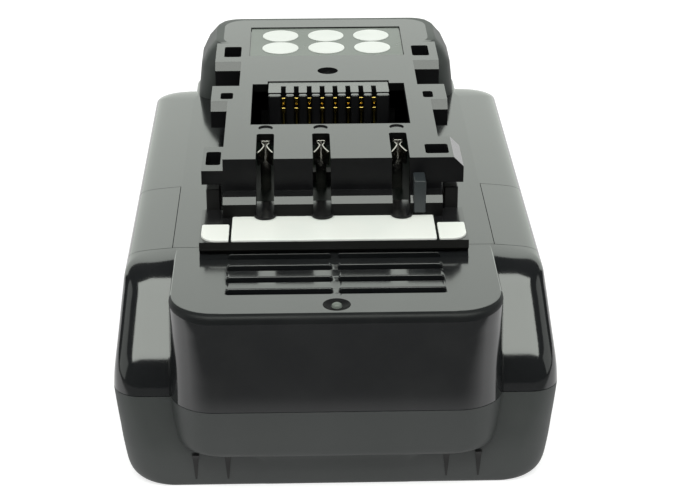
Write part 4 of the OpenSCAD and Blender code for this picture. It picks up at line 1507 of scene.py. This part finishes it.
@dataclass
class CaseScrews:
    """The four screws in the underside, with rounded heads and six-lobed recesses."""

    low: float = 1.2
    head_r: float = 2.79
    head_top: float = 3.6
    round_over: float = 0.5
    shank_r: float = 1.45
    tip: float = 25.1
    lobe: float = 0.2
    recess_r: float = 1.2
    recess: float = 1.0
    recess_wall: float = 0.08
    point: float = 1.2
    rings: tuple[tuple[float, float, int], ...] = ((0.0, 0.9, 5), (0.95, 1.5, 14), (1.6, 2.25, 4))

    def build(self) -> None:
        """Makes the screws as one piece in place of their node."""
        parts = MeshParts()
        for at in SCREW_PLACES:
            self.screw(parts, at)
        place("case_screws", parts.mesh("case_screws"), STEEL, Body.CASE, "case_screws")

    def screw(self, parts: MeshParts, at: tuple[float, float]) -> None:
        """Adds one screw, rings about its axis from the middle of the head to the tip.

        Over the head the height rises by the recess depth inside a circle whose radius goes up
        and down six times in a turn, and by a quarter round at the rim.

        Args:
            parts: where it is added.
            at: X and Y of its axis.
        """
        turn = full_turn(72)[None, :]
        flat_rings = [np.linspace(*span) for span in self.rings]
        r = np.concatenate([*flat_rings, self.head_r - self.round_over * (1 - spread(7))])[:, None]
        inside = np.clip((self.recess_r + self.lobe * np.cos(6 * turn) - r) / self.recess_wall, 0.0, 1.0)
        rim = np.clip((r - self.head_r + self.round_over) / self.round_over, 0.0, 1.0)
        head = self.low + self.recess * inside + self.round_over * (1 - np.sqrt(1 - rim ** 2))
        stem_r = np.array([self.head_r, self.shank_r, self.shank_r, 0.0])[:, None]
        stem_z = np.array([self.head_top, self.head_top, self.tip - self.point, self.tip])[:, None]
        radius = np.vstack([r + 0 * turn, stem_r + 0 * turn])
        z = np.vstack([head, stem_z + 0 * turn])
        verts = np.stack([at[0] + radius * np.cos(turn), at[1] + radius * np.sin(turn), z], axis=-1)
        parts.add(verts.reshape(-1, 3), grid_faces(len(radius), turn.size))


# Stage


@dataclass(frozen=True)
class Softbox:
    """An area lamp of a given brightness per area, with its place, aim and size in metres."""

    name: str
    at: tuple[float, float, float]
    aim: tuple[float, float, float]
    size: tuple[float, float]
    radiance: float
    colour: tuple[float, float, float]

    def build(self) -> None:
        """Puts the lamp in the scene, where a radiance of 1 looks white."""
        data = bpy.data.lights.new(self.name, "AREA")
        data.shape = "RECTANGLE"
        data.size, data.size_y = self.size
        data.energy = self.radiance * math.pi * self.size[0] * self.size[1]
        data.color = self.colour
        lamp = bpy.data.objects.new(self.name, data)
        lamp.location = self.at
        lamp.rotation_euler = (Vector(self.aim) - Vector(self.at)).to_track_quat("-Z", "Y").to_euler()
        bpy.context.scene.collection.objects.link(lamp)


SOFTBOXES = (
    Softbox("back_box", (0.0, 0.654, 0.2575), (0.0, 0.034, -0.0325), (1.9, 0.52), 1.0, (0.94, 1.0, 0.93)),
    Softbox("front_box", (0.0, -0.248, 0.636), (0.0, -0.018, 0.046), (0.9, 0.31), 3.7, (0.95, 1.0, 0.93)),
    Softbox("left_box", (-0.75, -0.1, 0.3), (0.0, -0.02, 0.03), (0.5, 0.45), 0.55, (0.95, 1.0, 0.95)),
    Softbox("right_box", (0.75, -0.1, 0.3), (0.0, -0.02, 0.03), (0.5, 0.45), 0.55, (0.95, 1.0, 0.95)),
)


@dataclass
class Studio:
    """Camera, pale floor and soft light."""

    eye: tuple[float, float, float] = (-6.36, -370.6, 189.95)
    pitch: float = 24.63
    yaw: float = 1.62
    focal_px: float = 1868.6
    frame_px: float = 699.0
    sensor: float = 36.0
    clip: tuple[float, float] = (0.01, 20.0)
    floor_half: float = 3.0
    floor_z: float = -0.05
    paper: tuple[float, float, float, float] = (0.5, 0.5, 0.5, 1.0)
    floor_lift: float = 0.72
    fill: float = 0.5
    mirrored_fill: float = 0.03
    backdrop: float = 1.0
    dim_y: float = -114.0
    bright_y: float = -84.0
    mirror_levels: tuple[float, float] = (0.14, 0.75)

    def camera(self) -> None:
        """The photograph's viewing angle for a frame of 699 by 500."""
        data = bpy.data.cameras.new("camera")
        data.sensor_fit = "HORIZONTAL"
        data.sensor_width = self.sensor
        data.lens = self.sensor * self.focal_px / self.frame_px
        data.clip_start, data.clip_end = self.clip
        eye = bpy.data.objects.new("camera", data)
        p, q = math.radians(self.pitch), math.radians(self.yaw)
        aim = Vector((math.sin(q) * math.cos(p), math.cos(q) * math.cos(p), -math.sin(p)))
        eye.location = Vector(self.eye) * MM
        eye.rotation_euler = aim.to_track_quat("-Z", "Y").to_euler()
        bpy.context.scene.collection.objects.link(eye)
        bpy.context.scene.camera = eye

    def world(self) -> None:
        """White where the camera sees it, a plain fill for matt surfaces and dark in mirrors."""
        world = bpy.data.worlds.new("studio")
        bpy.context.scene.world = world
        world.use_nodes = True
        tree = world.node_tree
        tree.nodes.clear()
        ray = add_node(tree, "ShaderNodeLightPath", {}).outputs
        last = None
        levels = (("", self.fill), ("Is Glossy Ray", self.mirrored_fill), ("Is Camera Ray", self.backdrop))
        for label, strength in levels:
            inputs = {"Color": (1.0, 1.0, 1.0, 1.0), "Strength": strength}
            glow = add_node(tree, "ShaderNodeBackground", inputs).outputs["Background"]
            if last is not None:
                inputs = {"Fac": ray[label], 1: last, 2: glow}
                glow = add_node(tree, "ShaderNodeMixShader", inputs).outputs["Shader"]
            last = glow
        add_node(tree, "ShaderNodeOutputWorld", {"Surface": last})

    def floor(self) -> None:
        """A wide pale floor: white to the camera apart from the shadow, dim in mirrors far in front.

        It is clear from below, so that the underside can be looked at.
        """
        half, low = self.floor_half, self.floor_z * MM
        mesh = bpy.data.meshes.new("floor")
        corners = [(-half, -half, low), (half, -half, low), (half, half, low), (-half, half, low)]
        mesh.from_pydata(corners, [], [(0, 1, 2, 3)])
        floor = bpy.data.objects.new("floor", mesh)
        bpy.context.scene.collection.objects.link(floor)
        made = bpy.data.materials.new("floor_white")
        made.use_nodes = True
        tree = made.node_tree
        tree.nodes.clear()
        ray = add_node(tree, "ShaderNodeLightPath", {}).outputs
        inputs = {0: ray["Is Camera Ray"], 1: self.floor_lift}
        lift = add_node(tree, "ShaderNodeMath", inputs, operation="MULTIPLY").outputs["Value"]
        shown = add_node(tree, "ShaderNodeEmission", {"Strength": lift}).outputs["Emission"]
        paper = add_node(tree, "ShaderNodeBsdfDiffuse", {"Color": self.paper}).outputs["BSDF"]
        seen = add_node(tree, "ShaderNodeAddShader", {0: paper, 1: shown}).outputs["Shader"]
        where = add_node(tree, "ShaderNodeTexCoord", {}).outputs["Object"]
        along = add_node(tree, "ShaderNodeSeparateXYZ", {"Vector": where}).outputs["Y"]
        level = remap(tree, along, self.dim_y * MM, self.bright_y * MM, *self.mirror_levels)
        mirrored = add_node(tree, "ShaderNodeEmission", {"Strength": level}).outputs["Emission"]
        inputs = {"Fac": ray["Is Glossy Ray"], 1: seen, 2: mirrored}
        above = add_node(tree, "ShaderNodeMixShader", inputs).outputs["Shader"]
        turned = add_node(tree, "ShaderNodeNewGeometry", {}).outputs["Backfacing"]
        clear = add_node(tree, "ShaderNodeBsdfTransparent", {}).outputs["BSDF"]
        whole = add_node(tree, "ShaderNodeMixShader", {"Fac": turned, 1: above, 2: clear})
        add_node(tree, "ShaderNodeOutputMaterial", {"Surface": whole.outputs["Shader"]})
        mesh.materials.append(made)

    def build(self) -> None:
        """Sets up the whole stage."""
        bpy.context.scene.view_settings.view_transform = "Standard"
        self.camera()
        for softbox in SOFTBOXES:
            softbox.build()
        self.world()
        self.floor()


NODE_FINISHES: dict[str, Finish] = {
    "label_plate": LABEL_GREY_AND_NUB_HIGHLIGHT, "label_discs": DISC_WHITE, "circuit_board": BOARD_MASK,
    "link_strips_left": STEEL, "link_strips_right": STEEL, "lead_positive": STEEL, "lead_negative": STEEL,
    "block_screws": STEEL, "board_screws": STEEL,
}


def dress_nodes() -> None:
    """Gives every CAD node a finish, which shows on those that no piece replaces."""
    for name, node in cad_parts.items():
        is_cell = name.startswith(("cell_lower", "cell_upper"))
        finish = CELL_SLEEVE if is_cell else NODE_FINISHES.get(name, INNER_BLACK_AND_SHADE)
        node.data.materials.clear()
        node.data.materials.append(finish.material())


def main() -> None:
    """Builds the stage and every piece in order."""
    logging.basicConfig(level=logging.INFO, format="%(message)s")
    Studio().build()
    dress_nodes()
    form = CaseForm()
    LowerShell(form).build()
    UpperShell(form).build()
    ContactBlock().build()
    SlideStrip().build()
    Terminals().build()
    Connector().build()
    SmallParts().build()
    CaseScrews().build()
    for side in Side:
        ReleaseButton(side, form).build()
        ButtonSpring(side).build()


if __name__ == "__main__":
    main()
